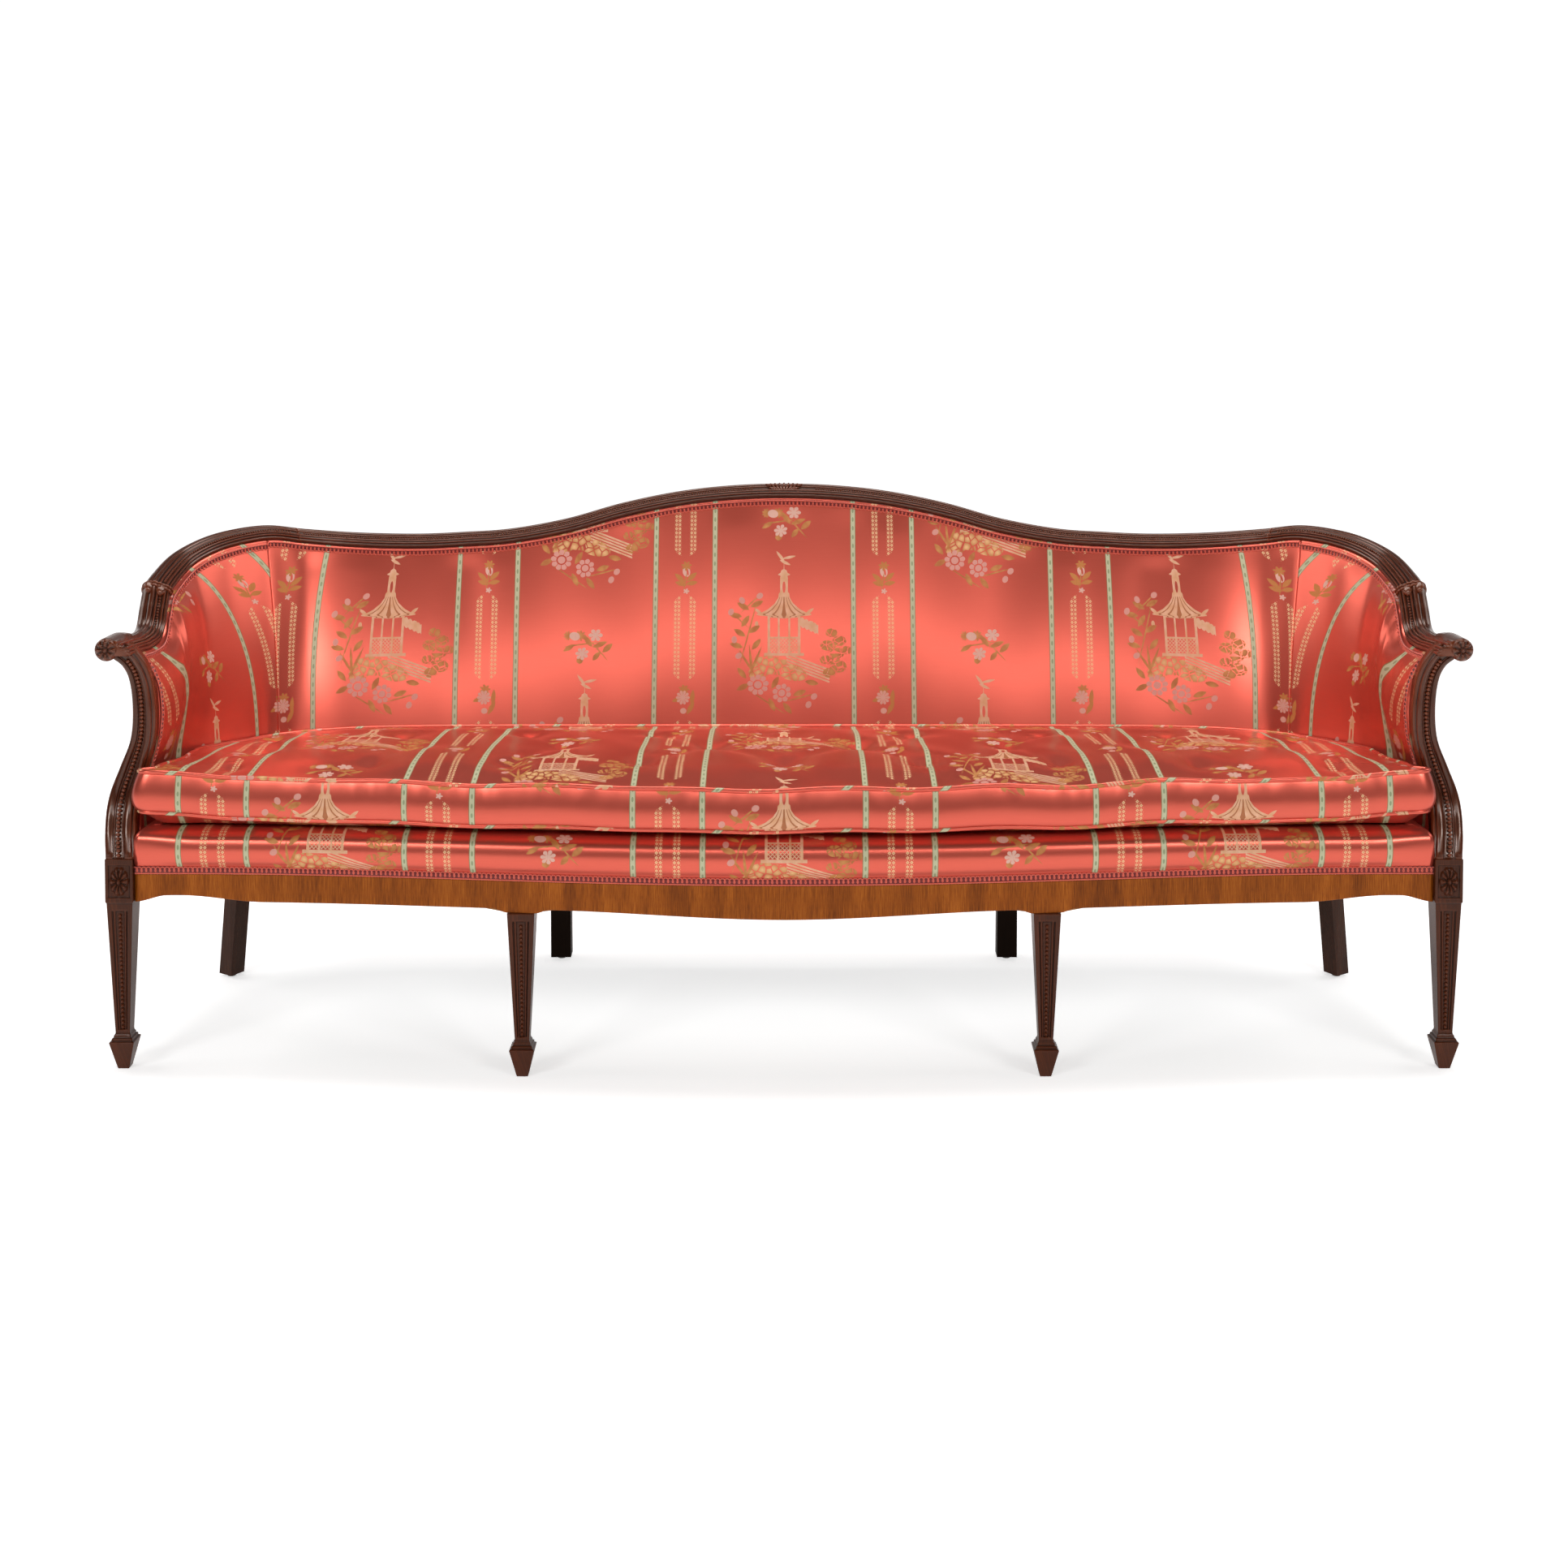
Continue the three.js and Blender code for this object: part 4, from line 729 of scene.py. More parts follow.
# %% The silk itself
def silk(name):
    """The whole drawing of the cloth, from the figures to their colours."""
    f = Cloth(name)
    flat = f.weave_place()
    u, v = flat[0], flat[1]

    # wide stripes, every other one dropped by half a repeat
    column = (u / REPEAT_ACROSS + 0.5).math("FLOOR")
    x = u - column * REPEAT_ACROSS
    dropped = (column % 2.0) * (REPEAT_UP / 2)
    y = ((v + dropped + 0.3) % REPEAT_UP) - 0.3
    wide = f.place(x, y)

    # pavilion: bird, finial, turret, roof with turned-up eaves
    down = y * -1.0
    half_width = f.add(
        "ShaderNodeFloatCurve",
        {"profile": [
            (0.0, 0.0), (0.09, 0.012), (0.1, 0.1), (0.115, 0.12), (0.125, 0.2), (0.13, 0.24),
            (0.137, 0.12), (0.15, 0.14), (0.25, 0.14), (0.26, 0.19), (0.29, 0.21), (0.33, 0.34),
            (0.37, 0.58), (0.395, 0.84), (0.402, 1.0), (0.412, 0.97), (0.418, 0.6), (0.428, 0.58),
            (0.432, 0.0), (1.0, 0.0),
        ]},
        {"Value": (down + 0.005) / 0.25},
    )
    aside = abs(x)
    outline = half_width * 0.05
    silhouette = aside < outline
    roof = (down > 0.066) & silhouette
    ribs = roof & (((aside / (outline + 0.0001)) % 0.34) < 0.09)
    windows = f.oval(wide, (0, -0.049), (0.0028, 0.010))
    posts = many([abs(aside - 0.0275) < 0.0022, abs(aside - 0.0095) < 0.0016])
    posts = posts & (down > 0.1) & (down < 0.166)
    slant, slope = (x + y) % 0.0062, (x - y) % 0.0062
    rail_box = (aside < 0.0285) & (down > 0.135) & (down < 0.162)
    lattice = rail_box & ((slant < 0.0017) | (slope < 0.0017) | (abs(down - 0.1365) < 0.0016))
    floor_line = (aside < 0.036) & (abs(down - 0.1655) < 0.0026)
    awning = (
        (x > 0.0285) & (x < 0.062)
        & (abs(down - x * 0.42 - 0.0965) < 0.0065 + abs((x * 420).math("SINE")) * 0.0028)
    )
    bells = many([f.oval(wide, (at, -0.113), (0.0032, 0.005)) for at in (-0.0495, 0.0505)])
    tips = many([
        f.leaf(wide, (side * 0.046, -0.0915), (0.010, 0.0028), side * 38) for side in (-1, 1)
    ])
    bird = many([
        f.leaf(wide, (-0.006, 0.004), (0.013, 0.0026), -52),
        f.leaf(wide, (0.009, 0.003), (0.013, 0.0024), 12),
        f.leaf(wide, (0.002, -0.006), (0.011, 0.0026), -24),
    ])
    pale = many([silhouette, posts, lattice, floor_line, awning, bells, tips, bird])
    pale = pale & (1.0 - windows)

    # rocks and steps
    stones = {"Vector": wide, "Scale": 85.0}
    cells = f.add("ShaderNodeTexVoronoi", {"feature": "DISTANCE_TO_EDGE"}, stones)
    crumbs = f.add("ShaderNodeTexVoronoi", {"feature": "F1"}, stones)
    rocks = many([
        f.oval(wide, (-0.022, -0.184), (0.034, 0.016), -6),
        f.oval(wide, (0.012, -0.196), (0.030, 0.014), -14),
        f.oval(wide, (-0.045, -0.196), (0.020, 0.012), 12),
    ])
    step_line = down - x * 0.36
    flight = (x > 0.004) & (x < 0.082) & (abs(step_line - 0.1735) < 0.0125)
    steps = flight & ((step_line % 0.0052) < 0.0032)
    rock_lines = cells < 0.07

    # tree at the right
    crowns = many([
        f.oval(wide, centre, (radius, radius * 0.72))
        for centre, radius in [
            ((0.086, -0.128), 0.0105), ((0.100, -0.142), 0.0125), ((0.078, -0.150), 0.0125),
            ((0.096, -0.163), 0.0130), ((0.113, -0.158), 0.0100), ((0.076, -0.175), 0.0110),
            ((0.098, -0.186), 0.0150), ((0.082, -0.197), 0.0120),
        ]
    ])
    trunk = many([
        f.leaf(wide, (0.088, -0.172), (0.034, 0.0016), 78),
        f.leaf(wide, (0.096, -0.176), (0.026, 0.0014), 60),
    ])

    # flowering branch and grasses at the left
    stems = many([
        f.leaf(wide, centre, size, turn)
        for centre, size, turn in [
            ((-0.064, -0.128), (0.060, 0.0013), 74), ((-0.060, -0.077), (0.026, 0.0013), 42),
            ((-0.080, -0.106), (0.024, 0.0012), 140), ((-0.030, -0.248), (0.040, 0.0013), -32),
            ((0.028, -0.240), (0.030, 0.0013), 14), ((-0.052, -0.178), (0.030, 0.0024), 66),
            ((-0.060, -0.176), (0.028, 0.0022), 96), ((-0.068, -0.178), (0.026, 0.0022), 124),
        ]
    ])
    foliage = many([
        f.leaf(wide, centre, (0.0125, 0.0048), turn)
        for centre, turn in [
            ((-0.074, -0.082), 150), ((-0.049, -0.078), 25), ((-0.088, -0.098), 170),
            ((-0.070, -0.108), 55), ((-0.080, -0.128), 148), ((-0.054, -0.122), 30),
            ((-0.086, -0.150), 165), ((-0.050, -0.148), 50), ((-0.076, -0.198), 130),
            ((-0.074, -0.222), 205), ((-0.016, -0.214), 60), ((-0.022, -0.252), -64),
            ((0.006, -0.258), -52), ((0.028, -0.232), 20), ((0.050, -0.214), -10),
        ]
    ])
    peony_a, lines_a, reach_a = f.petals(wide, (-0.047, -0.218), (0.0195, 0.0180), 9, 10, 0.2)
    peony_b, lines_b, reach_b = f.petals(wide, (-0.004, -0.232), (0.0175, 0.0160), 8, 30, 0.22)
    heart_a, heart_b = abs(reach_a - 0.42) < 0.07, abs(reach_b - 0.42) < 0.07
    buds = many([
        f.oval(wide, centre, (0.0062, 0.0050), turn)
        for centre, turn in [
            ((-0.044, -0.064), 30), ((-0.076, -0.072), 120), ((-0.096, -0.092), 60),
            ((-0.090, -0.140), 90), ((0.054, -0.238), 40), ((0.044, -0.252), 60),
            ((-0.082, -0.168), 30),
        ]
    ])

    # the small spray between two pavilions
    spray_place = f.place(x, y - 0.068)
    (spray_a, spray_lines_a, _), (spray_b, spray_lines_b, _) = (
        f.petals(spray_place, centre, size, count, turn, depth)
        for centre, size, count, turn, depth in [
            ((0.018, 0.014), (0.0130, 0.0110), 6, 0, 0.35),
            ((-0.006, -0.018), (0.0125, 0.0110), 7, 20, 0.32),
        ]
    )
    spray_bud = f.oval(spray_place, (-0.020, 0.012), (0.0095, 0.0072), -10)
    spray_crowns = many([
        f.petals(spray_place, (-0.032, 0.013), (0.0085, 0.0085), 9, 0, 0.6)[0],
        f.petals(spray_place, (-0.010, 0.013), (0.0105, 0.0095), 9, 0, 0.6)[0],
    ])
    spray_leaves = many([
        f.leaf(spray_place, centre, size, turn)
        for centre, size, turn in [
            ((0.004, 0.004), (0.013, 0.0045), -52), ((0.026, -0.002), (0.014, 0.0042), 20),
            ((0.040, -0.008), (0.012, 0.0050), 40), ((0.020, -0.022), (0.010, 0.0045), 50),
            ((-0.030, -0.008), (0.012, 0.0040), 30), ((-0.008, -0.002), (0.036, 0.0012), 8),
            ((0.026, -0.014), (0.024, 0.0012), -46), ((-0.010, -0.030), (0.006, 0.0060), 90),
        ]
    ])

    # narrow stripes
    nx = ((u + REPEAT_ACROSS) % REPEAT_ACROSS) - REPEAT_ACROSS / 2
    up = v + 0.029
    run = (up % (REPEAT_UP / 2)) - REPEAT_UP / 4
    band_x = abs(nx) - 0.014
    check_x = abs(((band_x + 0.00625) / 0.00625) % 1.0 - 0.5)
    check_y = abs((run / 0.0072) % 1.0 - 0.5)
    check = check_x + check_y
    diamonds = ((check < 0.44) & (check > 0.13)) | (check > 0.86)
    slanted_end = abs(run) + abs(band_x + 0.0062) * 0.9
    band = (abs(band_x) < 0.0062) & (slanted_end < 0.0745)
    bands = band & diamonds
    second = ((up + REPEAT_UP / 4) % REPEAT_UP) > REPEAT_UP / 2
    ny = ((up + REPEAT_UP / 4) % (REPEAT_UP / 2)) - REPEAT_UP / 4
    small = f.place(nx, ny)
    bud_white = f.oval(small, (0.002, 0.007), (0.0068, 0.0090), 10)
    bud_line = f.oval(small, (0.004, 0.007), (0.0018, 0.0070), 10)
    bud_gold = many([
        f.petals(small, (0.002, 0.017), (0.0100, 0.0085), 7, 10, 0.6)[0],
        f.leaf(small, (-0.010, -0.004), (0.0120, 0.0042), 140),
        f.leaf(small, (0.012, -0.002), (0.0120, 0.0042), 40),
        f.leaf(small, (-0.008, -0.014), (0.0110, 0.0040), 165),
        f.leaf(small, (0.012, -0.013), (0.0110, 0.0040), 10),
        f.leaf(small, (0.000, -0.010), (0.0160, 0.0014), 80),
    ])
    star = f.petals(small, (0.002, -0.027), (0.0058, 0.0050), 5, 0, 0.6)[0]
    daisy, daisy_lines, _ = f.petals(small, (-0.002, 0.004), (0.0125, 0.0125), 10, 0, 0.25)
    daisy_gold = many([
        f.petals(small, (0.000, 0.018), (0.0100, 0.0085), 7, 0, 0.6)[0],
        f.leaf(small, (0.015, 0.004), (0.0140, 0.0040), 84),
        f.leaf(small, (0.012, -0.014), (0.0130, 0.0042), 60),
        f.leaf(small, (-0.014, 0.000), (0.0080, 0.0034), 20),
    ])
    berry = f.oval(small, (-0.001, -0.019), (0.0056, 0.0050))
    narrow_gold = bud_gold * (1.0 - second) + daisy_gold * second
    narrow_white = (bud_white & (1.0 - bud_line) | star) * (1.0 - second)
    narrow_pink = ((daisy & (1.0 - daisy_lines)) | berry) * second

    # ribbons
    ribbon = abs(abs(x) - 0.126)
    ribbon_mask = ribbon < 0.0049
    ribbon_edge = ribbon > 0.0038
    bead_y = ((v % 0.0155) - 0.00775) / 0.0040
    bead = ((ribbon / 0.0017) * (ribbon / 0.0017) + bead_y * bead_y) < 1.0

    in_wide = abs(x) < 0.1205
    gold = many([crowns, trunk, stems, foliage, spray_crowns, spray_leaves]) & in_wide
    pink_flowers = (
        (peony_a & (1.0 - (lines_a | heart_a))) | (peony_b & (1.0 - (lines_b | heart_b))) | buds
    ) & in_wide
    white_flowers = (
        (spray_a & (1.0 - spray_lines_a)) | (spray_b & (1.0 - spray_lines_b)) | spray_bud
    ) & in_wide
    rock_mask = (rocks & (1.0 - rock_lines)) & in_wide
    pavilion = (pale | steps) & in_wide
    gold = gold & (1.0 - (crowns & (cells < 0.05)))

    # colours, laid over each other from the ground up
    slub = f.noise(f.moved(flat, size=(0.05, 0.0009, 1)), 1.0, 2.0)
    thread = f.noise(f.moved(flat, size=(0.0007, 0.03, 1)), 1.0, 1.0)
    ground = f.mix(slub * 0.35, tone(219, 98, 80), tone(200, 81, 66))
    color = f.mix(pavilion, ground, f.mix(crumbs * 0.9, tone(232, 184, 152), tone(214, 156, 108)))
    color = f.mix(ribs * in_wide, color, tone(172, 104, 60))
    color = f.mix(rock_mask, color, f.mix(crumbs * 1.3, tone(234, 188, 130), tone(192, 120, 56)))
    color = f.mix(gold, color, f.mix(crumbs * 1.1, tone(206, 144, 76), tone(176, 104, 46)))
    color = f.mix(pink_flowers, color, tone(216, 150, 136))
    color = f.mix(white_flowers | narrow_white, color, tone(222, 176, 158))
    color = f.mix(bands, color, tone(236, 192, 142))
    color = f.mix(narrow_gold, color, tone(192, 122, 56))
    color = f.mix(narrow_pink, color, tone(218, 162, 144))
    ribbon_color = f.mix(ribbon_edge, tone(190, 194, 158), tone(140, 120, 78))
    ribbon_color = f.mix(bead, ribbon_color, tone(140, 156, 118))
    color = f.mix(ribbon_mask, color, ribbon_color)
    figure = many([
        pavilion, rock_mask, gold, pink_flowers, white_flowers, bands, narrow_gold, narrow_pink,
        narrow_white, ribbon_mask,
    ])
    color = f.mix(thread * figure * 0.25, color, tone(150, 84, 60))
    return f.set(
        base_color=color,
        metallic=0.72 - figure * 0.55,
        roughness=figure * 0.2 + slub * 0.04 + 0.27,
        normal=f.bump(slub * 0.6 + thread * 0.4, 0.00004, 0.5),
    )


striped_silk = silk("striped_silk")
print("silk nodes", len(striped_silk.node_tree.nodes))

# %% [markdown]
# ## The small finishes
#
# Braid is wound silk, the seat's platform is plain sateen, webbing is coarse jute, the dust cover
# is black cambric, and the glides are nickelled steel. The hidden frame, the rails behind the legs,
# the rear legs, the webbing and the glides keep their CAD shape and only get a finish here.

# %% Braid, lining, webbing, cambric and steel
TAPE_ASIDE = 1.0  # the tape under the braid lies this far aside on the UV map


def corded(name, light, dark, ground, pitch=0.0011):
    """Wound silk over a tape in the ground colour."""
    f = Finish(name)
    place = f.weave_place()
    tape = place[0] > TAPE_ASIDE / 2
    twist = ((place[0] * 0.8 + place[1]) * (2 * math.pi / pitch)).math("SINE") * 0.5 + 0.5
    fuzz = f.noise(place, 900.0, 2.0)
    return f.set(
        base_color=f.mix(tape, f.mix(twist * 0.55 + fuzz * 0.45, dark, light), ground),
        roughness=0.5,
        sheen_weight=0.3,
        normal=f.bump(twist + fuzz * 0.4, 0.0003, 0.7),
    )


def plain_weave(name, light, dark, count=1400.0, roughness=0.8, on_map=True):
    """Threads over and under each other, with a faint cloud of wear."""
    f = Finish(name)
    place = f.weave_place() if on_map else f.object_place()
    warp = (place[0] * count).math("SINE")
    weft = (place[1] * count).math("SINE")
    cross = (warp * weft) * 0.5 + 0.5
    cloud = f.noise(place, 14.0, 3.0)
    return f.set(
        base_color=f.mix(cross * 0.5 + cloud * 0.5, dark, light),
        roughness=roughness,
        normal=f.bump(cross, 0.0003, 0.5),
    )


braid_silk = corded("coral_braid", tone(250, 116, 86), tone(196, 58, 42), tone(116, 22, 20))
lining = plain_weave("platform_sateen", tone(176, 66, 56), tone(146, 46, 42))
jute = plain_weave(
    "jute_webbing", tone(190, 158, 106), tone(140, 108, 66), 900.0, 0.9, on_map=False
)
cambric = plain_weave("black_cambric", tone(34, 33, 34), tone(16, 16, 18), 1600.0, 0.92)

steel_finish = Finish("nickelled_steel")
scuffs = steel_finish.noise(steel_finish.object_place(), 220.0, 4.0)
nickel = steel_finish.set(
    base_color=steel_finish.mix(scuffs, tone(150, 148, 142), tone(96, 94, 90)),
    metallic=0.95,
    roughness=scuffs * 0.3 + 0.25,
)
print("small finishes ready")

# %% Finishes for the pieces that stay as the CAD work made them
def keep(names, finish, bevel=0.0):
    """Gives CAD pieces a finish, and wood and steel an eased edge."""
    for name in names:
        kept = nodes[name]
        kept.data.materials.clear()
        kept.data.materials.append(finish)
        if bevel:
            rounding = kept.modifiers.new("eased_edges", "BEVEL")
            rounding.width = bevel
            rounding.segments = 2
            rounding.limit_method = "ANGLE"
            rounding.angle_limit = math.radians(40)


def both(*stems):
    return [f"{stem}_{hand}" for stem in stems for hand in ("left", "right")]


keep(both("rear_leg_outer"), rear_leg_mahogany, 0.0008)
# The inner rear legs take the near-black copy of the wood, which is painted shade.
keep(both("rear_leg_inner"), painted_shade_rear_leg_mahogany, 0.0008)
keep(both("side_rail"), side_rail_wood, 0.0008)
keep(["rear_rail_centre"] + both("rear_rail"), rear_rail_wood, 0.0008)
keep(
    ["front_rail", "back_stretcher_centre", "brace_middle"]
    + both("brace", "corner_block_front", "corner_block_rear", "back_stretcher", "arm_stretcher"),
    beech, 0.0008,
)
keep(["seat_webbing", "back_webbing"], jute)
keep(both("glide_inner", "glide_outer"), nickel, 0.0006)
print("kept pieces finished")

# %% [markdown]
# ## Crest and arm rails
#
# The rail's section is a fat roll along the back edge, then reeds and a channel with a string of
# beads, and a lip over the braid. A section of straight bevels would look machined, so the reeds
# are worked out as bumps on a smooth outline and the beads are real little balls.

# %% The moulded section
RAIL_DEPTH, RAIL_HEIGHT = 0.042, 0.023
RAIL_SECTION = np.array([
    [0, 0], [-0.03, 0.35], [0.03, 0.75], [0.2, 0.98], [0.42, 1], [0.62, 0.86],
    [0.84, 0.66], [0.98, 0.42], [1.02, 0.2], [1, 0],
])
section_line = Line(np.hstack([RAIL_SECTION, np.zeros((10, 1))]))
# Each reed starts and ends at a share of the way from the ridge to the lip, and has its own rise.
REEDS = ((0.0, 0.24, 1.0), (0.27, 0.38, 0.7), (0.56, 0.68, 0.7), (0.71, 0.8, 0.6), (0.83, 1, 0.4))
QUIRK = 0.0016  # how deep the hollows between the reeds are
ARM_CARVE = 1.35  # the arms are carved deeper than the crest


def rail_section(count=96, carve=1.0):
    """Shares of depth and height round the section, with reeds from the ridge to the lip."""
    share = np.linspace(0, 1, count)
    flat = section_line.at(share)[:, :2] * (RAIL_DEPTH, RAIL_HEIGHT)
    step = np.gradient(flat, axis=0)
    normal = unit(np.stack([-step[:, 1], step[:, 0]], 1))
    length = distance_along(flat)
    start = np.interp(0.4, share, length)
    f = (length - start) / (length[-1] - start)  # 0 at the ridge, 1 at the end of the lip
    bump = np.where(f > -0.01, -QUIRK, 0.0)
    for low, high, rise in REEDS:
        part = np.clip((f - low) / (high - low), 0, 1)
        reed = -QUIRK + (QUIRK + rise * 0.0008) * np.sin(np.pi * part) ** 0.6
        bump = np.maximum(bump, np.where((f >= low) & (f <= high), reed, -9))
    bump = np.where((f > 0.385) & (f < 0.555), -0.0024, bump)  # the channel for the beads
    bump = bump * smooth(f, -0.04, 0.03) * (1 - smooth(f, 0.985, 1.0))
    return flat + normal * (bump * carve)[:, None], f


def rail_skin(first, last, steps, carve=1.0):
    """The section carried along the crest line, with flat ends."""
    station = np.linspace(first, last, steps)
    edge, inward, up, _ = crest_frame(station)
    shape, _ = rail_section(carve=carve)
    shape = np.vstack([shape, [[RAIL_DEPTH, 0], [0, 0]], shape[:1]])
    points = (
        edge[:, None] + inward[:, None] * shape[None, :, :1]
        + up[:, None] * (shape[None, :, 1:] - RAIL_HEIGHT)
    )
    chart = np.broadcast_arrays(distance_along(shape)[None], distance_along(edge)[:, None])
    return capped(points, np.stack(chart, -1))


def bead_string(first, last, pitch, radius, carve=1.0):
    """Beads in the channel of the rail between two stations."""
    station = np.linspace(first, last, 900)
    edge, inward, up, _ = crest_frame(station)
    shape, f = rail_section(carve=carve)
    i = int(np.argmin(np.abs(f - 0.47)))
    path = edge + inward * shape[i, 0] + up * (shape[i, 1] - RAIL_HEIGHT)
    centres, marks, length = even_steps(path, pitch)
    along, out = (
        unit(resample(way, length, marks))[1:-1]
        for way in (unit(np.gradient(path, axis=0)), unit(inward * 0.55 + up * 0.83))
    )
    centres = centres[1:-1] + out * radius * 0.45
    aside = np.cross(along, out)
    axes = np.stack([along * radius * 0.92, aside * radius, out * radius], 1)
    return copies(ball(4, 7), centres, axes)


print("points round the rail", len(rail_section()[0]))

# %% Crest, corners and arm rails
def moulded(name, first, last, steps, carve=1.0):
    """One length of the rail between two stations, in place of its CAD solid."""
    thing = skin(f"{name}_moulded", rail_skin(first, last, steps, carve), mahogany)
    return dress(thing, "show_wood", name)


def beaded(name, stretches, pitch, radius, carve=1.0):
    balls = [b for first, last in stretches for b in bead_string(first, last, pitch, radius, carve)]
    return dress(skin(name, balls, mahogany), "show_wood")


JOINT_GAP = 0.002  # in stations
crest = moulded("crest_rail", JOINT_GAP - CREST_JOINT, CREST_JOINT - JOINT_GAP, 420)
beads = beaded("crest_beads", ((-9.1, -0.55), (0.55, 9.1)), 0.0046, 0.0019)
for side, hand in SIDES:
    corner_start = side * (CREST_JOINT + JOINT_GAP)
    moulded(f"crest_corner_{hand}", corner_start, side * KNOT, 150, ARM_CARVE)
    moulded(f"arm_rail_{hand}", side * (KNOT + 0.01), side * LAST, 130, ARM_CARVE)
    stretches = ((side * 9.35, side * 14.75), (side * 15.2, side * 19.6))
    beaded(f"arm_beads_{hand}", stretches, 0.0052, 0.0021, ARM_CARVE)
print("crest faces", len(crest.data.polygons), "beads", len(beads.data.polygons))

# %% [markdown]
# ## Scrolls, rosettes, the knots and the leaf on the crest
#
# Each arm ends in a roll with a carved flower on its front. Square blocks over the outer legs carry
# oval flowers. A flower is a disc whose height follows its petals, so one formula makes all three.
# The knot where the corner laps over the arm rail is a collar with two rounded lobes, and the leaf
# spray at the middle of the crest is a fan of small lobes.

# %% Flowers and scrolls
def flower(centre, across, up, out, radius, petals, height):
    """A petalled dome. across, up and out are its axes, and radius is a pair."""
    rings, turns = 26, 8 * petals
    r = np.linspace(0, 1, rings)[:, None]
    turn = np.linspace(0, 2 * np.pi, turns + 1)[None]
    ripple = np.abs(np.cos(turn * petals / 2))
    reach = r * (0.9 + 0.1 * ripple)
    petal = (0.25 + 0.75 * ripple) * np.sin(np.pi * np.clip((r - 0.2) / 0.8, 0, 1)) ** 0.7
    vein = 0.82 + 0.18 * np.abs(ripple - 0.8)
    button = np.sqrt(np.clip(1 - (r / 0.24) ** 2, 0, 1))
    rise = height * np.maximum(petal * vein, button) * (1 - smooth(r, 0.93, 1.0))
    points = (
        np.asarray(centre)
        + (reach * np.cos(turn))[..., None] * np.asarray(across) * radius[0]
        + (reach * np.sin(turn))[..., None] * np.asarray(up) * radius[1]
        + rise[..., None] * np.asarray(out)
    )
    back = points[-1:] - np.asarray(out) * 0.0015
    return [patch(np.concatenate([points, back])), cap(back[0, :-1])]


SCROLL_RADIUS, SCROLL_LENGTH = 0.018, 0.11
for side, hand in SIDES:
    end = crest_line.at(share_of(side * LAST))
    centre = end - np.array([side * 0.0045, 0, 0.0135])
    depth = np.array([0, 0.0015, 0.004, 0.02, 0.045, 0.06, 0.085, SCROLL_LENGTH])
    radii = np.array([0.88, 0.97, 1, 1, 1, 0.98, 0.75, 0.45]) * SCROLL_RADIUS
    fine = np.linspace(0, 1, 60) ** 1.4 * SCROLL_LENGTH
    wide = np.interp(fine, depth, radii)
    turn = np.linspace(0, 2 * np.pi, 41)
    points = centre + np.stack([
        wide[:, None] * np.cos(turn), fine[:, None] + 0 * turn, wide[:, None] * np.sin(turn)
    ], -1)
    dress(skin(f"scroll_roll_{hand}", capped(points), mahogany), "show_wood")
    axes = (1, 0, 0), (0, 0, 1), (0, -1, 0)
    petals = flower(centre + (0, -0.0002, 0), *axes, (0.0168, 0.0168), 8, 0.0052)
    carved = skin(f"scroll_flower_{hand}", petals, mahogany)
    dress(carved, "show_wood", f"scroll_rosette_{hand}")
print("scrolls at", centre.round(4))

# %% Knots on the arms and the leaf on the crest
def lobe(centre, axes):
    return copies(ball(10, 18), [centre], [axes])


for side, hand in SIDES:
    parts = []
    edge, inward, up, ahead = crest_frame(side * KNOT)
    ahead = ahead * side  # towards the front of the arm
    shape, _ = rail_section(carve=0.4)
    ring = np.vstack([shape, [[RAIL_DEPTH, 0], [0, 0]]])
    middle = ring.mean(0)
    for step, grow in ((-0.0035, 1.07), (0.003, 1.05)):
        grown = middle + (ring - middle) * grow
        outline = (
            edge + ahead * step + inward * grown[:, :1] + up * (grown[:, 1:] - RAIL_HEIGHT)
        )
        parts += tube(outline, 0.0022, 8, up=ahead, closed=True)
    for depth, height, length in ((0.012, 0.021, 0.012), (0.030, 0.014, 0.013)):
        at = edge + ahead * 0.004 + inward * depth + up * (height - RAIL_HEIGHT)
        normal = unit(inward * 0.5 + up * 0.86)
        aside = np.cross(ahead, normal)
        parts += lobe(at, [ahead * length, aside * 0.009, normal * 0.0048])
        parts += lobe(at + ahead * 0.010, [ahead * 0.005, aside * 0.005, normal * 0.0040])
    knot = skin(f"arm_knot_{hand}", parts, mahogany)
    dress(knot, "show_wood")

edge, inward, up, ahead = crest_frame(0.0)
normal = unit(inward * 0.72 + up * 0.69)
down_face = unit(np.cross(normal, ahead))
if down_face[2] > 0:
    down_face = -down_face
base = edge + inward * 0.022 + up * 0.0005
parts = []
for i in range(-4, 5):
    angle = math.radians(i * 17)
    for row, (far, size) in enumerate(((0.009, 0.0075), (0.0195, 0.006))):
        at = base + down_face * 0.013 + ahead * (i * 0.0052) * (1 + 0.4 * row)
        at = at - down_face * (far - 0.009) * 0.8
        direction = unit(ahead * math.sin(angle) - down_face * math.cos(angle))
        aside = np.cross(direction, normal)
        parts += lobe(at + normal * 0.0015, [direction * size, aside * 0.0024, normal * 0.0030])
for end in (-1, 1):
    at = base + down_face * 0.019 + ahead * end * 0.026
    parts += lobe(at, [ahead * 0.0042, down_face * 0.0042, normal * 0.0036])
leaf_spray = skin("crest_leaf_spray", parts, mahogany)
dress(leaf_spray, "show_wood")
print("carving faces", len(leaf_spray.data.polygons))

# %% [markdown]
# ## Arm supports
#
# An arm support rises from the leg block in an S, sweeps back, then comes forward under the scroll.
# Its front is moulded: a glossy round on each side of a channel with a bead string.

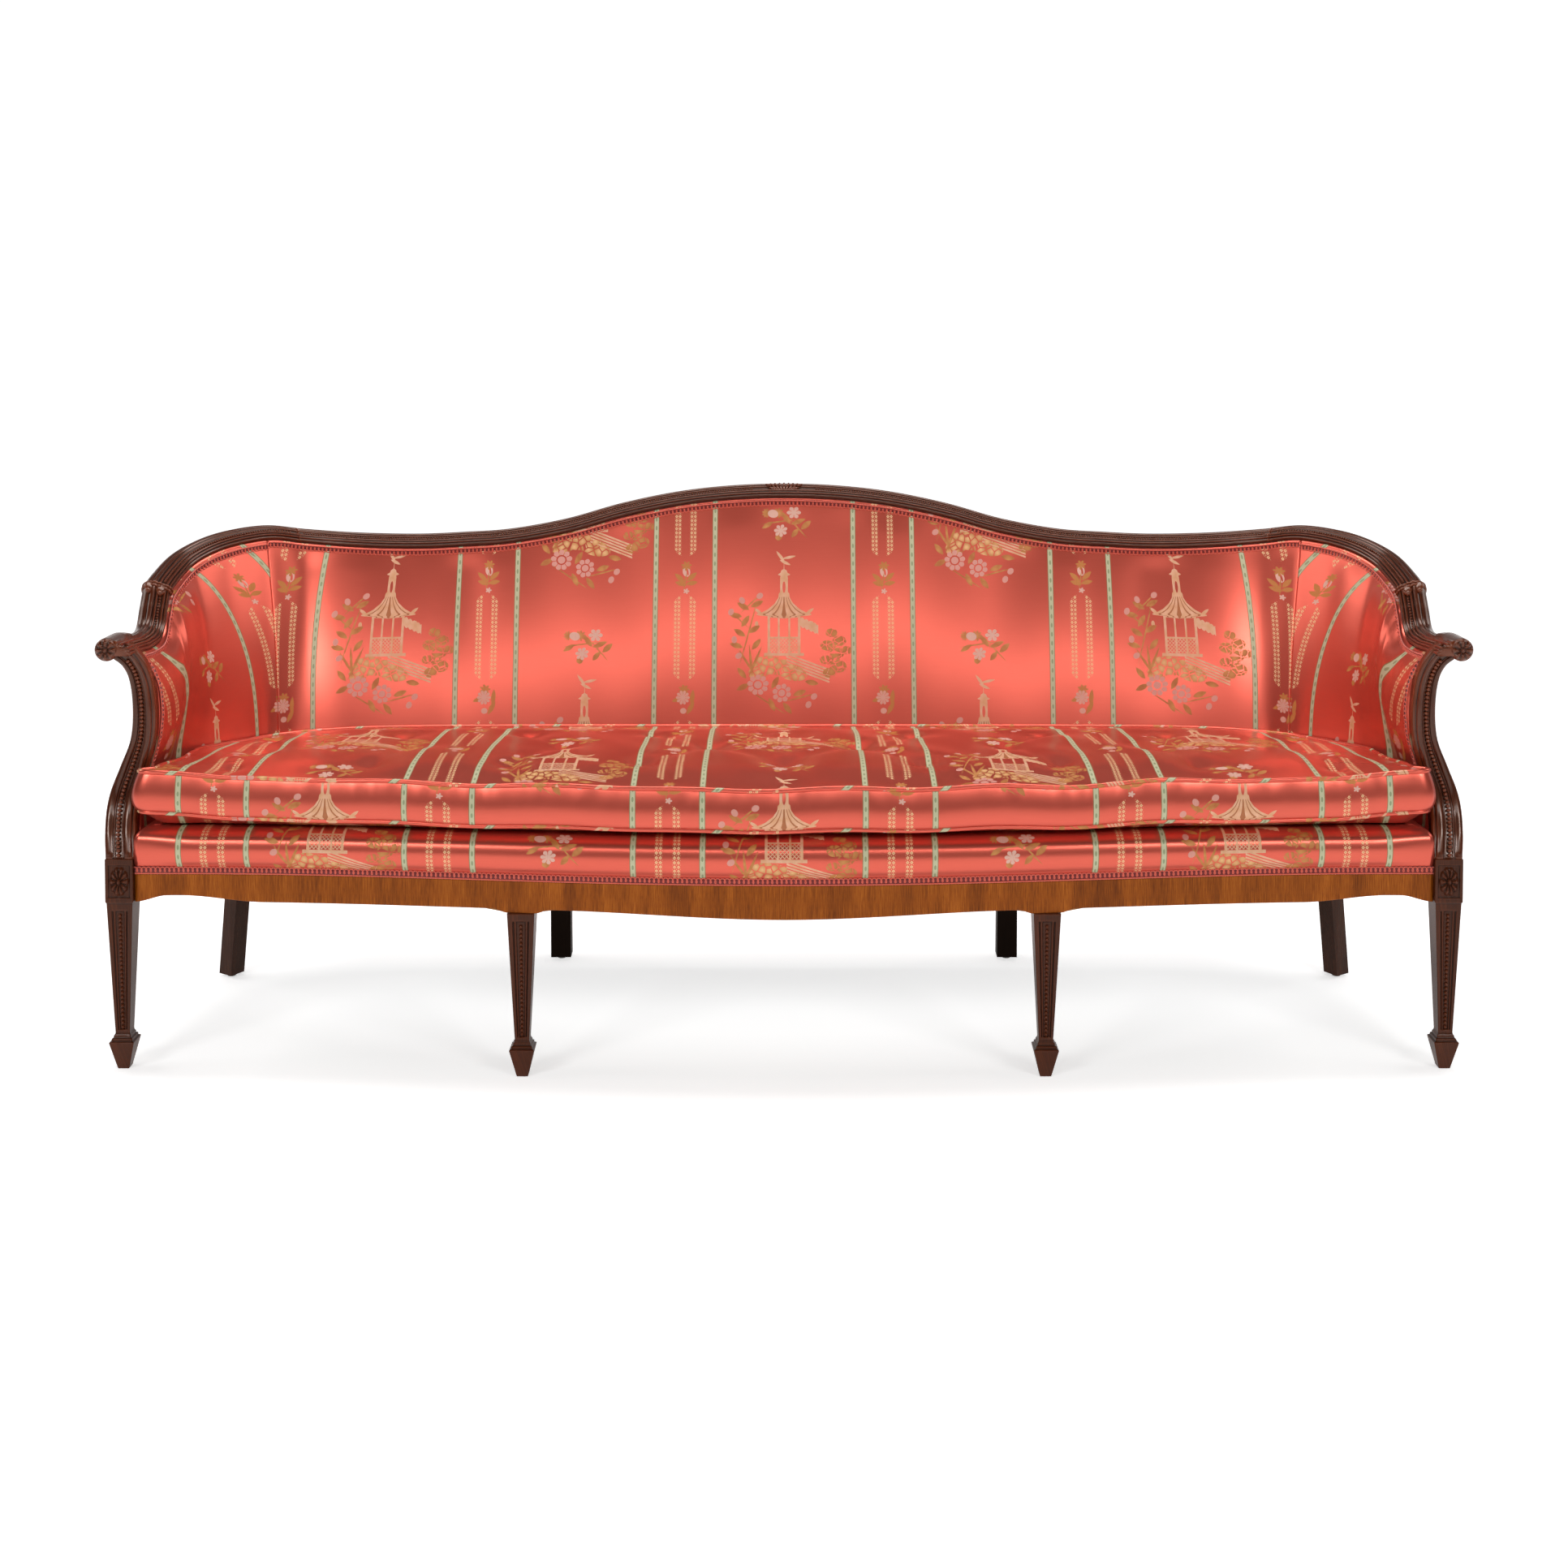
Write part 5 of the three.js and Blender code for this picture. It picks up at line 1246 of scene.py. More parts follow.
# %% Support section along the S curve
# Shares of the height, of the way out, of the way back and of the width.
SUPPORT = np.array([
    [0, 0, 0, 1], [0.104, 0.12, 0.3, 1], [0.209, 0.19, 0.7, 1], [0.294, 0.11, 0.92, 0.97],
    [0.42, -0.26, 1, 0.9], [0.547, -0.61, 1, 0.77], [0.674, -0.7, 1, 0.72], [0.816, -0.6, 1, 0.68],
    [0.9, -0.42, 0.88, 0.66], [0.956, -0.16, 0.7, 0.66], [1, 0.16, 0.5, 0.66],
])
SUPPORT_FOOT, SUPPORT_HEAD, SUPPORT_DEPTH = 0.3323, 0.652, 0.038
support_line = Line(np.stack([
    LEG_X + SUPPORT[:, 1] * 0.037,
    0 * SUPPORT[:, 0],
    lerp(SUPPORT_FOOT, SUPPORT_HEAD, SUPPORT[:, 0]),
], 1))
sweep_line = Line(np.stack([SUPPORT[:, 2] * 0.04, SUPPORT[:, 3] * 0.043, SUPPORT[:, 0]], 1))


def support_place(share):
    """Centre, direction across, width and front of the support at shares of its way up."""
    centre = support_line.at(share)
    ahead = support_line.along(share)
    lean = smooth(share, 0.75, 1) * np.arctan2(ahead[..., 0], ahead[..., 2])
    across = np.stack([np.cos(lean), 0 * lean, -np.sin(lean)], -1)
    sweep = sweep_line.at(share)
    return centre, across, ahead, sweep[..., 1], FRONT + sweep[..., 0]


def support_relief(a):
    """How far the front stands out at a share across it, from -1 to 1."""
    rise, a = np.full_like(a, -0.0020), np.abs(a)
    for low, high, height in ((0.34, 0.96, 0.0034), (0.24, 0.33, 0.0006)):
        share = np.clip((a - low) / (high - low), 0, 1)
        bead = height * np.sin(np.pi * share) ** 0.6
        rise = np.maximum(rise, np.where((a > low) & (a < high), bead, -9))
    return rise * (1 - smooth(a, 0.965, 1))


share = np.linspace(0, 1, 120)
centre, across, ahead, width, front = support_place(share)
a = np.linspace(-1, 1, 61)
relief = support_relief(a)
fade = smooth(share, 0.0, 0.03)
front_xyz = centre[:, None] + across[:, None] * (a[None] * width[:, None] / 2)[..., None]
front_xyz[..., 1] = front[:, None] + 0.002 - relief[None] * lerp(0.4, 1, fade)[:, None]
front_xyz[..., 1] += smooth(np.abs(a), 0.9, 1.0) * 0.003
back = front_xyz[:, [-1, 0]]
back[..., 1] = front[:, None] + SUPPORT_DEPTH
ring = np.concatenate([front_xyz, back, front_xyz[:, :1]], 1)
for side, hand in SIDES:
    upright = skin(f"arm_support_{hand}_moulded", capped(ring * (side, 1, 1)), mahogany)
    dress(upright, "show_wood", f"arm_support_{hand}")
    path = centre.copy()
    path[:, 1] = front
    spots = even_steps(path, 0.0063)[0][1:-4]
    axes = np.tile(np.array([[0.0034, 0, 0], [0, 0, 0.0030], [0, 0.0026, 0]]), (len(spots), 1, 1))
    string = copies(ball(5, 9), (spots + (0, 0.0008, 0)) * (side, 1, 1), axes)
    dress(skin(f"support_beads_{hand}", string, mahogany), "show_wood")
print("beads on a support", len(spots))

# %% [markdown]
# ## Front legs
#
# The legs are square and taper to a moulded collar over a spade foot. Sunk panels down the front,
# and down the outer side of the end legs, hold a string of beads. Each ring of points is a square
# whose sides can be pushed in, so panels are cut by a relief for each side instead of by booleans.

# %% Tapered legs with sunk panels
def panel_relief(a, z, top, foot):
    """How deep the panel is at a share across the face and at a height."""
    within = smooth(z, foot, foot + 0.0015) * (1 - smooth(z, top - 0.0015, top))
    bed = 1 - smooth(np.abs(a), 0.60, 0.66)
    reed = np.clip(1 - np.abs((np.abs(a) - 0.44) / 0.12), 0, 1)
    return within * (0.0034 * bed - 0.0026 * np.sin(np.pi / 2 * reed) ** 0.7 * (reed > 0))


def block_relief(a, z):
    """The sunk field of a leg block, which holds its flower."""
    within = smooth(z, 0.2712, 0.2722) * (1 - smooth(z, 0.3218, 0.3228))
    return within * 0.003 * (1 - smooth(np.abs(a), 0.76, 0.80))


# Heights and widths of the spade foot and the collar over it, up to the ankle.
FOOT = [
    (0.0, 0.0165), (0.0015, 0.018), (0.0425, 0.0378), (0.0435, 0.038), (0.0445, 0.0372),
    (0.0452, 0.033), (0.0465, 0.0318), (0.0485, 0.0318), (0.0495, 0.030), (0.0500, 0.0268),
    (0.0520, 0.0268), (0.0535, 0.0262), (0.0545, 0.0242), (0.0560, 0.0230), (0.058, 0.0222),
]
ANKLE_HEIGHT, ANKLE_WIDTH = FOOT[-1]
BLOCK_MIDDLE = 0.297


def tapered_leg(top, top_size, faces_with_panels, block=False):
    """The rings of a leg, and the bead strings in its panels. Faces count round from the front."""
    heights, sizes = [z for z, _ in FOOT], [s for _, s in FOOT]
    shaft = np.concatenate([
        np.linspace(0.0585, 0.066, 9),
        np.linspace(0.07, top - 0.02, 14),
        np.linspace(top - 0.017, top, 10),
    ])

    def shaft_width(z):
        return lerp(ANKLE_WIDTH, top_size, (z - ANKLE_HEIGHT) / (top - ANKLE_HEIGHT))

    heights += shaft.tolist()
    sizes += shaft_width(shaft).tolist()
    if block:
        heights += [0.2635, 0.2642, 0.265] + np.linspace(0.2655, 0.3315, 70).tolist() + [0.332]
        sizes += [0.0412, 0.0422, 0.0428] + [0.043] * 70 + [0.0424]
    heights, sizes = np.array(heights), np.array(sizes)
    a = np.linspace(-1, 1, 45)
    rings = []
    for face in range(4):
        turn = np.pi / 2 * face
        out = np.array([math.sin(turn), -math.cos(turn)])
        aside = np.array([math.cos(turn), math.sin(turn)])
        sink = np.zeros((len(heights), len(a)))
        if face in faces_with_panels:
            sink = panel_relief(a[None], heights[:, None], top - 0.012, 0.0615)
            if block:
                sink = np.maximum(sink, block_relief(a[None], heights[:, None]))
        eased = 0.0007 * smooth(np.abs(a), 0.955, 1.0)
        depth = sizes[:, None] / 2 - sink - eased[None]
        side_way = a[None] * (sizes[:, None] / 2 - 0.0007 * smooth(np.abs(a), 0.999, 1.0))
        xy = depth[..., None] * out + side_way[..., None] * aside
        rings.append(np.concatenate([xy, 0 * xy[..., :1] + heights[:, None, None]], -1))
    ring = np.concatenate(rings, 1)
    ring = np.concatenate([ring, ring[:, :1]], 1)
    strings = []
    z = np.arange(0.066, top - 0.015, 0.0068)
    half = shaft_width(z) / 2
    r = np.minimum(0.0028, half * 0.24)[:, None]
    for face in faces_with_panels:
        turn = np.pi / 2 * face
        out = np.array([math.sin(turn), -math.cos(turn), 0])
        aside = np.array([math.cos(turn), math.sin(turn), 0])
        centres = (half - 0.0026)[:, None] * out + z[:, None] * (0, 0, 1)
        axes = np.stack([aside * r, 0 * r + (0, 0, 0.0031), out * r], 1)
        strings += copies(ball(5, 9), centres, axes)
    return ring, strings


for side, hand in SIDES:
    outer_face = 1 if side > 0 else 3
    inner_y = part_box(f"front_leg_inner_{hand}")[0].y + 0.021
    for which, place, top, size, faces, block in (
        ("outer", (side * LEG_X, FRONT + HALF_BLOCK, 0), 0.263, 0.040, (0, outer_face), True),
        ("inner", (side * INNER_LEG_X, inner_y, 0), 0.2568, 0.042, (0,), False),
    ):
        ring, strings = tapered_leg(top, size, faces, block)
        leg = skin(
            f"front_leg_{which}_{hand}_tapered", capped(ring + np.array(place)), leg_mahogany
        )
        dress(leg, "show_wood", f"front_leg_{which}_{hand}")
        moved = [(p + np.array(place), q, c) for p, q, c in strings]
        dress(skin(f"leg_beads_{which}_{hand}", moved, leg_mahogany), "show_wood")
    side_centre = (side * (LEG_X + 0.0187), FRONT + HALF_BLOCK, BLOCK_MIDDLE)
    for which, centre_at, across_dir, out_dir in (
        ("front", (side * LEG_X, FRONT + 0.0028, BLOCK_MIDDLE), (1, 0, 0), (0, -1, 0)),
        ("side", side_centre, (0, 1, 0), (side, 0, 0)),
    ):
        petals = flower(centre_at, across_dir, (0, 0, 1), out_dir, (0.0154, 0.0232), 10, 0.0066)
        carved = skin(f"block_flower_{which}_{hand}", petals, leg_mahogany)
        dress(carved, "show_wood", f"block_rosette_{which}_{hand}")
print("leg faces", len(leg.data.polygons))

# %% [markdown]
# ## Front rail facing
#
# The serpentine front rail is faced with golden mahogany whose grain stands upright. The lower
# edge dips at the middle and at the inner legs and lifts beside the outer ones.

# %% Facing
def bow(x, reach):
    """A soft hump over the middle that is level with the ends at its reach."""
    return (1 + np.cos(np.pi * np.minimum(1, np.abs(x) / reach))) / 2


def front_face(x):
    return FACE_Y - 0.063 * bow(x, 0.94)


FRONT_HALF = LEG_X - HALF_BLOCK - 0.0003


def rail_edge(x):
    """The lower edge: it arches up beside the outer legs and dips at the inner ones."""
    out = np.abs(x)
    arch = 0.01 * smooth(out, FRONT_HALF * 0.8, FRONT_HALF * 0.93)
    tie = 0.01 * smooth(out, FRONT_HALF * 0.95, FRONT_HALF)
    aside = np.maximum(0, np.abs(out - INNER_LEG_X) - 0.021)
    bracket = 0.006 * (1 - smooth(aside, 0, 0.024))
    belly = 0.009 * (1 - smooth(out, 0, INNER_LEG_X * 0.85))
    return 0.263 + arch - tie - bracket - belly


x = np.linspace(-FRONT_HALF, FRONT_HALF, 401)
# Depths, and heights: in metres over the lower edge, below 0 under the upper edge, and in between
# as a share of the whole.
section = [
    (0.0033, 0.0), (0.0008, 0.0), (0.0002, 0.0006), (0.0, 0.0014),
    *[(0.0, s) for s in np.linspace(0.05, 0.95, 7)],
    (0.0, -0.0014), (0.0002, -0.0006), (0.0008, -0.00001), (0.0033, -0.00001),
]
rows = []
for depth, height in section:
    low, high = rail_edge(x), np.full_like(x, RAIL_TOP)
    z = lerp(low, high, height)
    if height < 0.01:
        z = (high if height < 0 else low) + height
    rows.append(np.stack([x, front_face(x) + depth, z], 1))
points = np.array(rows + [rows[0]])
chart = np.stack([points[..., 0], points[..., 2]], -1)
face_board = skin(
    "front_rail_facing_veneer",
    [patch(points, chart), cap(points[:-1, 0]), cap(points[:-1, -1])],
    facing,
)
dress(face_board, "facing_wood", "front_rail_facing")
print("facing", len(face_board.data.polygons))

# %% [markdown]
# ## Back and arms in silk
#
# The inside back and the inside arms are silk pulled over stuffing. Each is a closed slab that
# swells a little between its edges. The stripes stand upright on the back, and on the arms they
# lean back towards the seam near the top, because the cloth is pulled over a curve. The outside
# covers are thin slabs of the same silk on the outer face of the same walls.

# %% Cloth coordinates round the walls
station_table = np.linspace(-LAST, LAST, 1601)
middle_path = wall(station_table, 0.45)
reach_table = distance_along(middle_path)
reach_table -= np.interp(0, station_table, reach_table)


def cloth_across(station, height):
    """Stripes lean where the cloth is pulled round: in towards the seam, and back on the arms."""
    reach = np.interp(np.abs(station), station_table, reach_table)
    on_back = 0.034 * np.clip((height - 0.4) / 0.6, 0, 1) ** 2 * smooth(reach, 0.5, 0.9)
    on_arm = -0.005 - 0.1 * np.clip((height - 0.3) / 0.7, 0, 1) ** 2.5
    across = reach + np.where(np.abs(station) < SEAM, on_back, on_arm)
    across = across + 0.4 * np.maximum(0, across - 0.954)
    return np.sign(station) * (across - 0.55 * np.maximum(0, across - 1.2))


def cloth_up(points):
    return points[..., 2] - 0.718


def wall_grid(first, last, heights, steps):
    """Stations and heights of a face between two ends, each a station for every height."""
    share = np.linspace(0, 1, steps)[:, None]
    station = lerp(first(heights)[None], last(heights)[None], share)
    return station, np.broadcast_to(heights[None], station.shape)


def joined(face, back, chart, edge):
    """A face and a back joined round their rim, over which the cloth runs on by a little."""
    parts = [patch(face, chart), patch(back, chart)]
    for k in (0, -1):
        for at, way in ((np.s_[:, k], (0, edge)), (np.s_[k], (edge, 0))):
            strip = np.stack([face[at], back[at]])
            parts.append(patch(strip, np.stack([chart[at], chart[at] + way])))
    return parts


def swell(station, height):
    """The small unevenness of hand stuffing."""
    edge = smooth(height, 0.0, 0.12) * (1 - smooth(height, 0.9, 1.0))
    return edge * (
        0.0012 * np.sin(station * 1.9 + 0.6) * np.sin(height * 5.1 + 0.4)
        + 0.0008 * np.sin(station * 4.3 + 2.0) * np.cos(height * 3.3)
    )


PADDING_SHARE = 0.4  # of the wall's thickness


def slab(first, last, heights, steps):
    """Padding on the inner part of the wall."""
    station, height = wall_grid(first, last, heights, steps)
    face = wall(station, height)
    _, inward = rail_frame(station)
    face = face + inward * swell(station, height)[..., None]
    chart = np.stack([cloth_across(station, height), cloth_up(face)], -1)
    return joined(face, wall(station, height, PADDING_SHARE), chart, 0.01)


SEAM_GAP = 0.012  # in stations
back_heights = np.concatenate([
    np.linspace(0, 0.03, 4), np.linspace(0.05, 0.95, 56), np.linspace(0.96, 1, 6)
])


def seam_at(side, gap):
    """The station of a seam, for every height."""
    return lambda heights: 0 * heights + side * (SEAM + gap)


back_ends = seam_at(-1, -SEAM_GAP), seam_at(1, -SEAM_GAP)
inside_back = skin("inside_back_silk", slab(*back_ends, back_heights, 300), striped_silk)
dress(inside_back, "silk", "inside_back")
print("inside back faces", len(inside_back.data.polygons))

# %% Arms, each row ending behind its support
support_centre, _, _, _, support_front = support_place(np.linspace(0, 1, 200))
support_z = support_centre[:, 2]


def arm_end(side, thickness, further=0.0):
    """For every height, the station where the wall reaches the back of the arm support."""
    def stop(heights):
        station = np.linspace(KNOT, LAST, 400)
        place = wall(station[None], heights[:, None], thickness)
        front = np.interp(place[..., 2], support_z, support_front, left=FRONT + 0.005)
        clear = place[..., 1] >= front + SUPPORT_DEPTH + 0.0006 + further
        return side * np.array([station[row][-1] if row.any() else KNOT for row in clear])
    return stop


arm_heights = np.concatenate([
    np.linspace(0, 0.03, 4), np.linspace(0.05, 0.95, 60), np.linspace(0.96, 1, 5)
])
for side, hand in SIDES:
    parts = slab(seam_at(side, SEAM_GAP), arm_end(side, 0.0), arm_heights, 150)
    inside = skin(f"inside_arm_{hand}_silk", parts, striped_silk)
    dress(inside, "silk", f"inside_arm_{hand}")
print("inside arm faces", len(inside.data.polygons))

# %% Outside covers
COVER_THICK = 0.0026
TURNINGS = 1.02  # the cut cloth is 2 % larger each way than what shows


def cover(first, last, heights, steps):
    """A thin cloth on the outer face of the wall."""
    station, height = wall_grid(first, last, heights, steps)
    face = wall(station, height, 1.0)
    chart = np.stack([-cloth_across(station, 0 * height), cloth_up(face)], -1)
    return joined(face, wall(station, height, 1.0, -COVER_THICK), chart, 0.002)


def face_area(thing):
    """The area of a thin closed sheet, counted once."""
    return sum(face.area for face in thing.data.polygons) / 2


def declare_cover(thing):
    """Works out a cover's flat size, the reach of its UV map with turnings, grown until it holds the
    cover's area, and prints it.
    """
    chart = np.zeros(len(thing.data.loops) * 2)
    thing.data.uv_layers[0].data.foreach_get("uv", chart)
    span = np.ptp(chart.reshape(-1, 2), axis=0)
    area = face_area(thing)
    size = [float(s) * TURNINGS for s in span]
    while area > size[0] * size[1]:
        size[1] *= TURNINGS
    print(thing.name, "flat", [round(s, 3) for s in size], "area", round(area, 3))


cover_heights = np.concatenate([[0, 0.008], np.linspace(0.03, 0.97, 34), [0.992, 1]])
outside_back = skin("outside_back_silk", cover(*back_ends, cover_heights, 260), striped_silk)
dress(outside_back, "silk", "outside_back")
declare_cover(outside_back)
for side, hand in SIDES:
    parts = cover(seam_at(side, SEAM_GAP), arm_end(side, 1.0), cover_heights, 130)
    outside = skin(f"outside_arm_{hand}_silk", parts, striped_silk)
    dress(outside, "silk", f"outside_arm_{hand}")
    declare_cover(outside)

# %% [markdown]
# ## Seat border and platform
#
# A border roll of silk swells over the front rail, and behind it a plain platform lies under the
# cushion. It is one stuffed piece, so it is one skin, and only its finish changes at the seam.

# %% Deck
# Shares of the height, of the bulge and of the rounding inwards, from the rail up over the roll.
ROLL = np.array([
    [0, 0, 0], [0.12, 0.1, 0], [0.3, 0.72, 0], [0.52, 1, 0],
    [0.74, 0.8, 0.02], [0.9, 0.2, 0.14], [0.98, -0.6, 0.45], [1, -1, 1],
])
roll_line = Line(ROLL)
DECK_FOOT = RAIL_TOP + 0.0022
DECK_FRONT_TOP, DECK_REAR_TOP = 0.378, 0.350
DECK_HALF = LEG_X - HALF_BLOCK - 0.0006
DECK_END = 19.62  # the station of its front corners


def deck_top(y):
    return lerp(DECK_FRONT_TOP, DECK_REAR_TOP, (y - FACE_Y) / (RAIL_BACK - FACE_Y))


def inside_at(station, z, clear):
    """A place at height z that keeps clear of the wall's inside by a distance."""
    top = wall(station, 1.0)[..., 2]
    height = np.maximum(0, (z - WALL_BASE) / (top - WALL_BASE))
    place = wall(station, height, 0.0, -clear)
    place[..., 2] = z
    return place


def deck_ring(height, bulge, rounding):
    """One level ring of the border, from the front round the back."""
    inset = rounding * 0.034
    x = np.linspace(-1, 1, 321) * (DECK_HALF - inset)
    fade = 0.6 * smooth(np.abs(x), DECK_HALF * 0.9, DECK_HALF)
    front = np.stack([x, front_face(x) - (1 - fade) * bulge * 0.013 + inset, 0 * x], 1)
    z = lerp(DECK_FOOT, DECK_FRONT_TOP, height)
    sides = inside_at(np.linspace(DECK_END, -DECK_END, 260), z, 0.005 + inset)
    ring = np.vstack([front, sides, front[:1]])
    ring[:, 2] = lerp(DECK_FOOT, deck_top(ring[:, 1]), height)
    return ring


CLOTH_STRETCH = 1.02
deck_rows = np.array([deck_ring(*roll_line.at(s)) for s in np.linspace(0, 1, 44)])
top_ring = deck_rows[-1]
spine = top_ring.copy()
spine[:, 0] = np.clip(spine[:, 0], -0.72, 0.72)
spine[:, 1] = (front_face(spine[:, 0]) + 0.17 + shift) / 2
inner = np.array([lerp(top_ring, spine, s) for s in np.linspace(0, 1, 26)[1:]])
inner[..., 2] = deck_top(inner[..., 1])
deck_points = np.concatenate([deck_rows, inner])
drop = distance_along(deck_rows)
rise = np.concatenate([drop, drop[-1] + (inner[..., 1] - top_ring[:, 1])])
chart = np.stack([deck_points[..., 0] * CLOTH_STRETCH, rise - 0.207], -1)
parts = [patch(deck_points, chart), cap(deck_rows[0, :-1])]
deck = skin("seat_border_and_platform", parts, striped_silk)
deck.data.materials.append(lining)
for face in deck.data.polygons:
    if face.center.y > front_face(face.center.x) + 0.1 and face.center.z > 0.335:
        face.material_index = 1
dress(deck, "silk", "seat_stuffing")
print("deck faces", len(deck.data.polygons))

# %% [markdown]
# ## The loose cushion
#
# The cushion fills the seat from arm to arm and spreads a little in front of the supports: the
# front corners stick out as small ears. Its top is drawn down by rows of blind tufts, with soft
# folds running from tuft to tuft, its boxing is gathered, and a welt runs round both edges. A cloth
# simulation would swell it evenly and lose the seams, so the shape is worked out point by point
# from these rules and the UV map stays true to the cloth.

# %% Cushion outline
CUSHION_HALF, EAR, EAR_DEPTH = 0.979, 0.019, 0.02
CUSHION_BOW, CUSHION_REAR = 0.072, RAIL_BACK - BACK_THICK
CUSHION_DEPTH = CUSHION_REAR - CUSHION_EDGE + CUSHION_BOW
LOW_WELT, HIGH_WELT = 0.393, 0.456
BACK_CLEAR = 0.007  # from the inside of the back and the arms


def cushion_front(x):
    return CUSHION_EDGE - CUSHION_BOW * bow(x, 0.96)


def side_station():
    """The station where the side of the cushion starts, behind its ear."""
    station = np.linspace(KNOT, LAST, 2000)
    y = rail_line.at(share_of(station))[:, 1]
    return float(station[np.argmax(y < FACE_Y + 2 * EAR_DEPTH)])


start = side_station()
front_x = np.arange(17) / 17 * CUSHION_HALF
front_part = np.stack([front_x, cushion_front(front_x)], 1)
ear_part = np.array([
    [CUSHION_HALF + EAR / 2, CUSHION_EDGE - EAR_DEPTH / 4],
    [CUSHION_HALF + EAR, CUSHION_EDGE + EAR_DEPTH / 5],
    [CUSHION_HALF, CUSHION_EDGE + EAR_DEPTH],
])
side_part = inside_at(lerp(start, 0, np.arange(22) / 22), LOW_WELT, BACK_CLEAR)[:, :2]
side_part[:, 0] = np.minimum(side_part[:, 0], CUSHION_HALF)
rear_part = inside_at(np.array([0.0]), LOW_WELT, BACK_CLEAR)[:, :2]
half = np.vstack([front_part, ear_part, side_part, rear_part])
half_line = Line(np.hstack([half, np.zeros((len(half), 1))]))
fine, _, _ = even_steps(half_line.at(np.linspace(0, 1, 4000)), 0.0075)
rim = fine[:, :2]
rim = np.vstack([rim, (rim[1:-1] * (-1, 1))[::-1], rim[:1]])
print("cushion rim points", len(rim))

# %% Cushion surface
SPINE_HALF = CUSHION_HALF - CUSHION_DEPTH / 2  # the rows of points close on a line, the spine
tufts = [
    ((2 * column + 1) / count - 1, (row + 1) / 4)
    for row, count in ((0, 9), (1, 8), (2, 9))
    for column in range(count)
]
tufts = np.array([
    (across_share * CUSHION_HALF, lerp(CUSHION_EDGE - CUSHION_BOW, CUSHION_REAR, back_share))
    for across_share, back_share in tufts
])


def toward_spine(points, share):
    spine_x = np.clip(points[:, 0], -SPINE_HALF, SPINE_HALF)
    spine_y = (cushion_front(spine_x) + CUSHION_REAR) / 2
    return np.stack([lerp(points[:, 0], spine_x, share), lerp(points[:, 1], spine_y, share)], 1)


def corner_lift(p):
    return smooth(np.abs(p[:, 0]), CUSHION_HALF * 0.86, CUSHION_HALF + EAR) * (
        1 - smooth(p[:, 1], CUSHION_EDGE, CUSHION_EDGE + CUSHION_DEPTH * 0.33)
    )


def welt_height(height, p):
    """Welts rise to the front corners and sink to the back, as the platform does."""
    return height + 0.013 * corner_lift(p) - 0.024 * smooth(p[:, 1], CUSHION_EDGE, CUSHION_REAR)


def levelling(share, reach):
    """0 at the rim, then up to 1 where the share of the way to the spine has its reach."""
    return 1 - (1 - np.minimum(1, share / reach)) ** 2


def crown(p, share):
    """The stuffed swell of the top."""
    run = (p[:, 1] - cushion_front(p[:, 0])) / (CUSHION_REAR - cushion_front(p[:, 0]))
    across_swell = 1 - np.clip(np.abs(p[:, 0] / (CUSHION_HALF + EAR)), 0, 1) ** 8
    return levelling(share, 0.4) * (1 - np.clip(np.abs(2 * run - 1), 0, 1) ** 4) * across_swell


def tuft_dip(p):
    """A wide hollow and a small one at each tuft, and soft folds between neighbouring rows."""
    away = np.linalg.norm(p[:, None] - tufts[None], axis=-1)
    dip = (0.0075 * np.exp(-2 * (away / 0.056) ** 2)).sum(1)
    dip = dip + (0.002 * np.exp(-((away / 0.013) ** 2))).sum(1)
    fold = np.zeros(len(p))
    for i, tuft in enumerate(tufts):
        for other in tufts[i + 1:]:
            gap = other - tuft
            length = np.hypot(*gap)
            if 0.1 < length < 0.2 and abs(gap[1]) > 0.05:
                share = np.clip(((p - tuft) @ gap) / length**2, 0, 1)
                far = np.linalg.norm(p - tuft - share[:, None] * gap, axis=1)
                fold = np.maximum(fold, 0.0032 * np.exp(-((far / 0.017) ** 2)))
    return dip + fold


def wave(p):
    """The welts undulate where the tufts pull on the cloth."""
    return 0.0022 * wander(p[:, 0] / 0.95, 7, 4, 2.0, 5.0) * (p[:, 1] < -0.1)


def top_place(share):
    """A ring of the top, from the upper welt towards the spine."""
    p = toward_spine(rim, share)
    rise = 0.017 * crown(p, share) - tuft_dip(p) * levelling(share, 0.24)
    ripple = 0.0012 * wander(p[:, 0] * 3 + p[:, 1] * 2, 3, 4, 1.0, 3.0) * levelling(share, 0.3)
    z = welt_height(HIGH_WELT, p) + rise + ripple + wave(rim) * (1 - levelling(share, 0.3))
    return np.column_stack([p, z])


LOW_WAVE = 0.7  # the lower welt undulates less than the upper one


def under_place(share):
    """A ring of the underside, which rests on the platform inside its rim."""
    p = toward_spine(rim, share)
    rest = deck_top(p[:, 1]) + 0.0003
    low_edge = welt_height(LOW_WELT, rim) + wave(rim) * LOW_WAVE
    return np.column_stack([p, lerp(low_edge, rest, levelling(share, 0.15))])


rim_length = distance_along(rim)


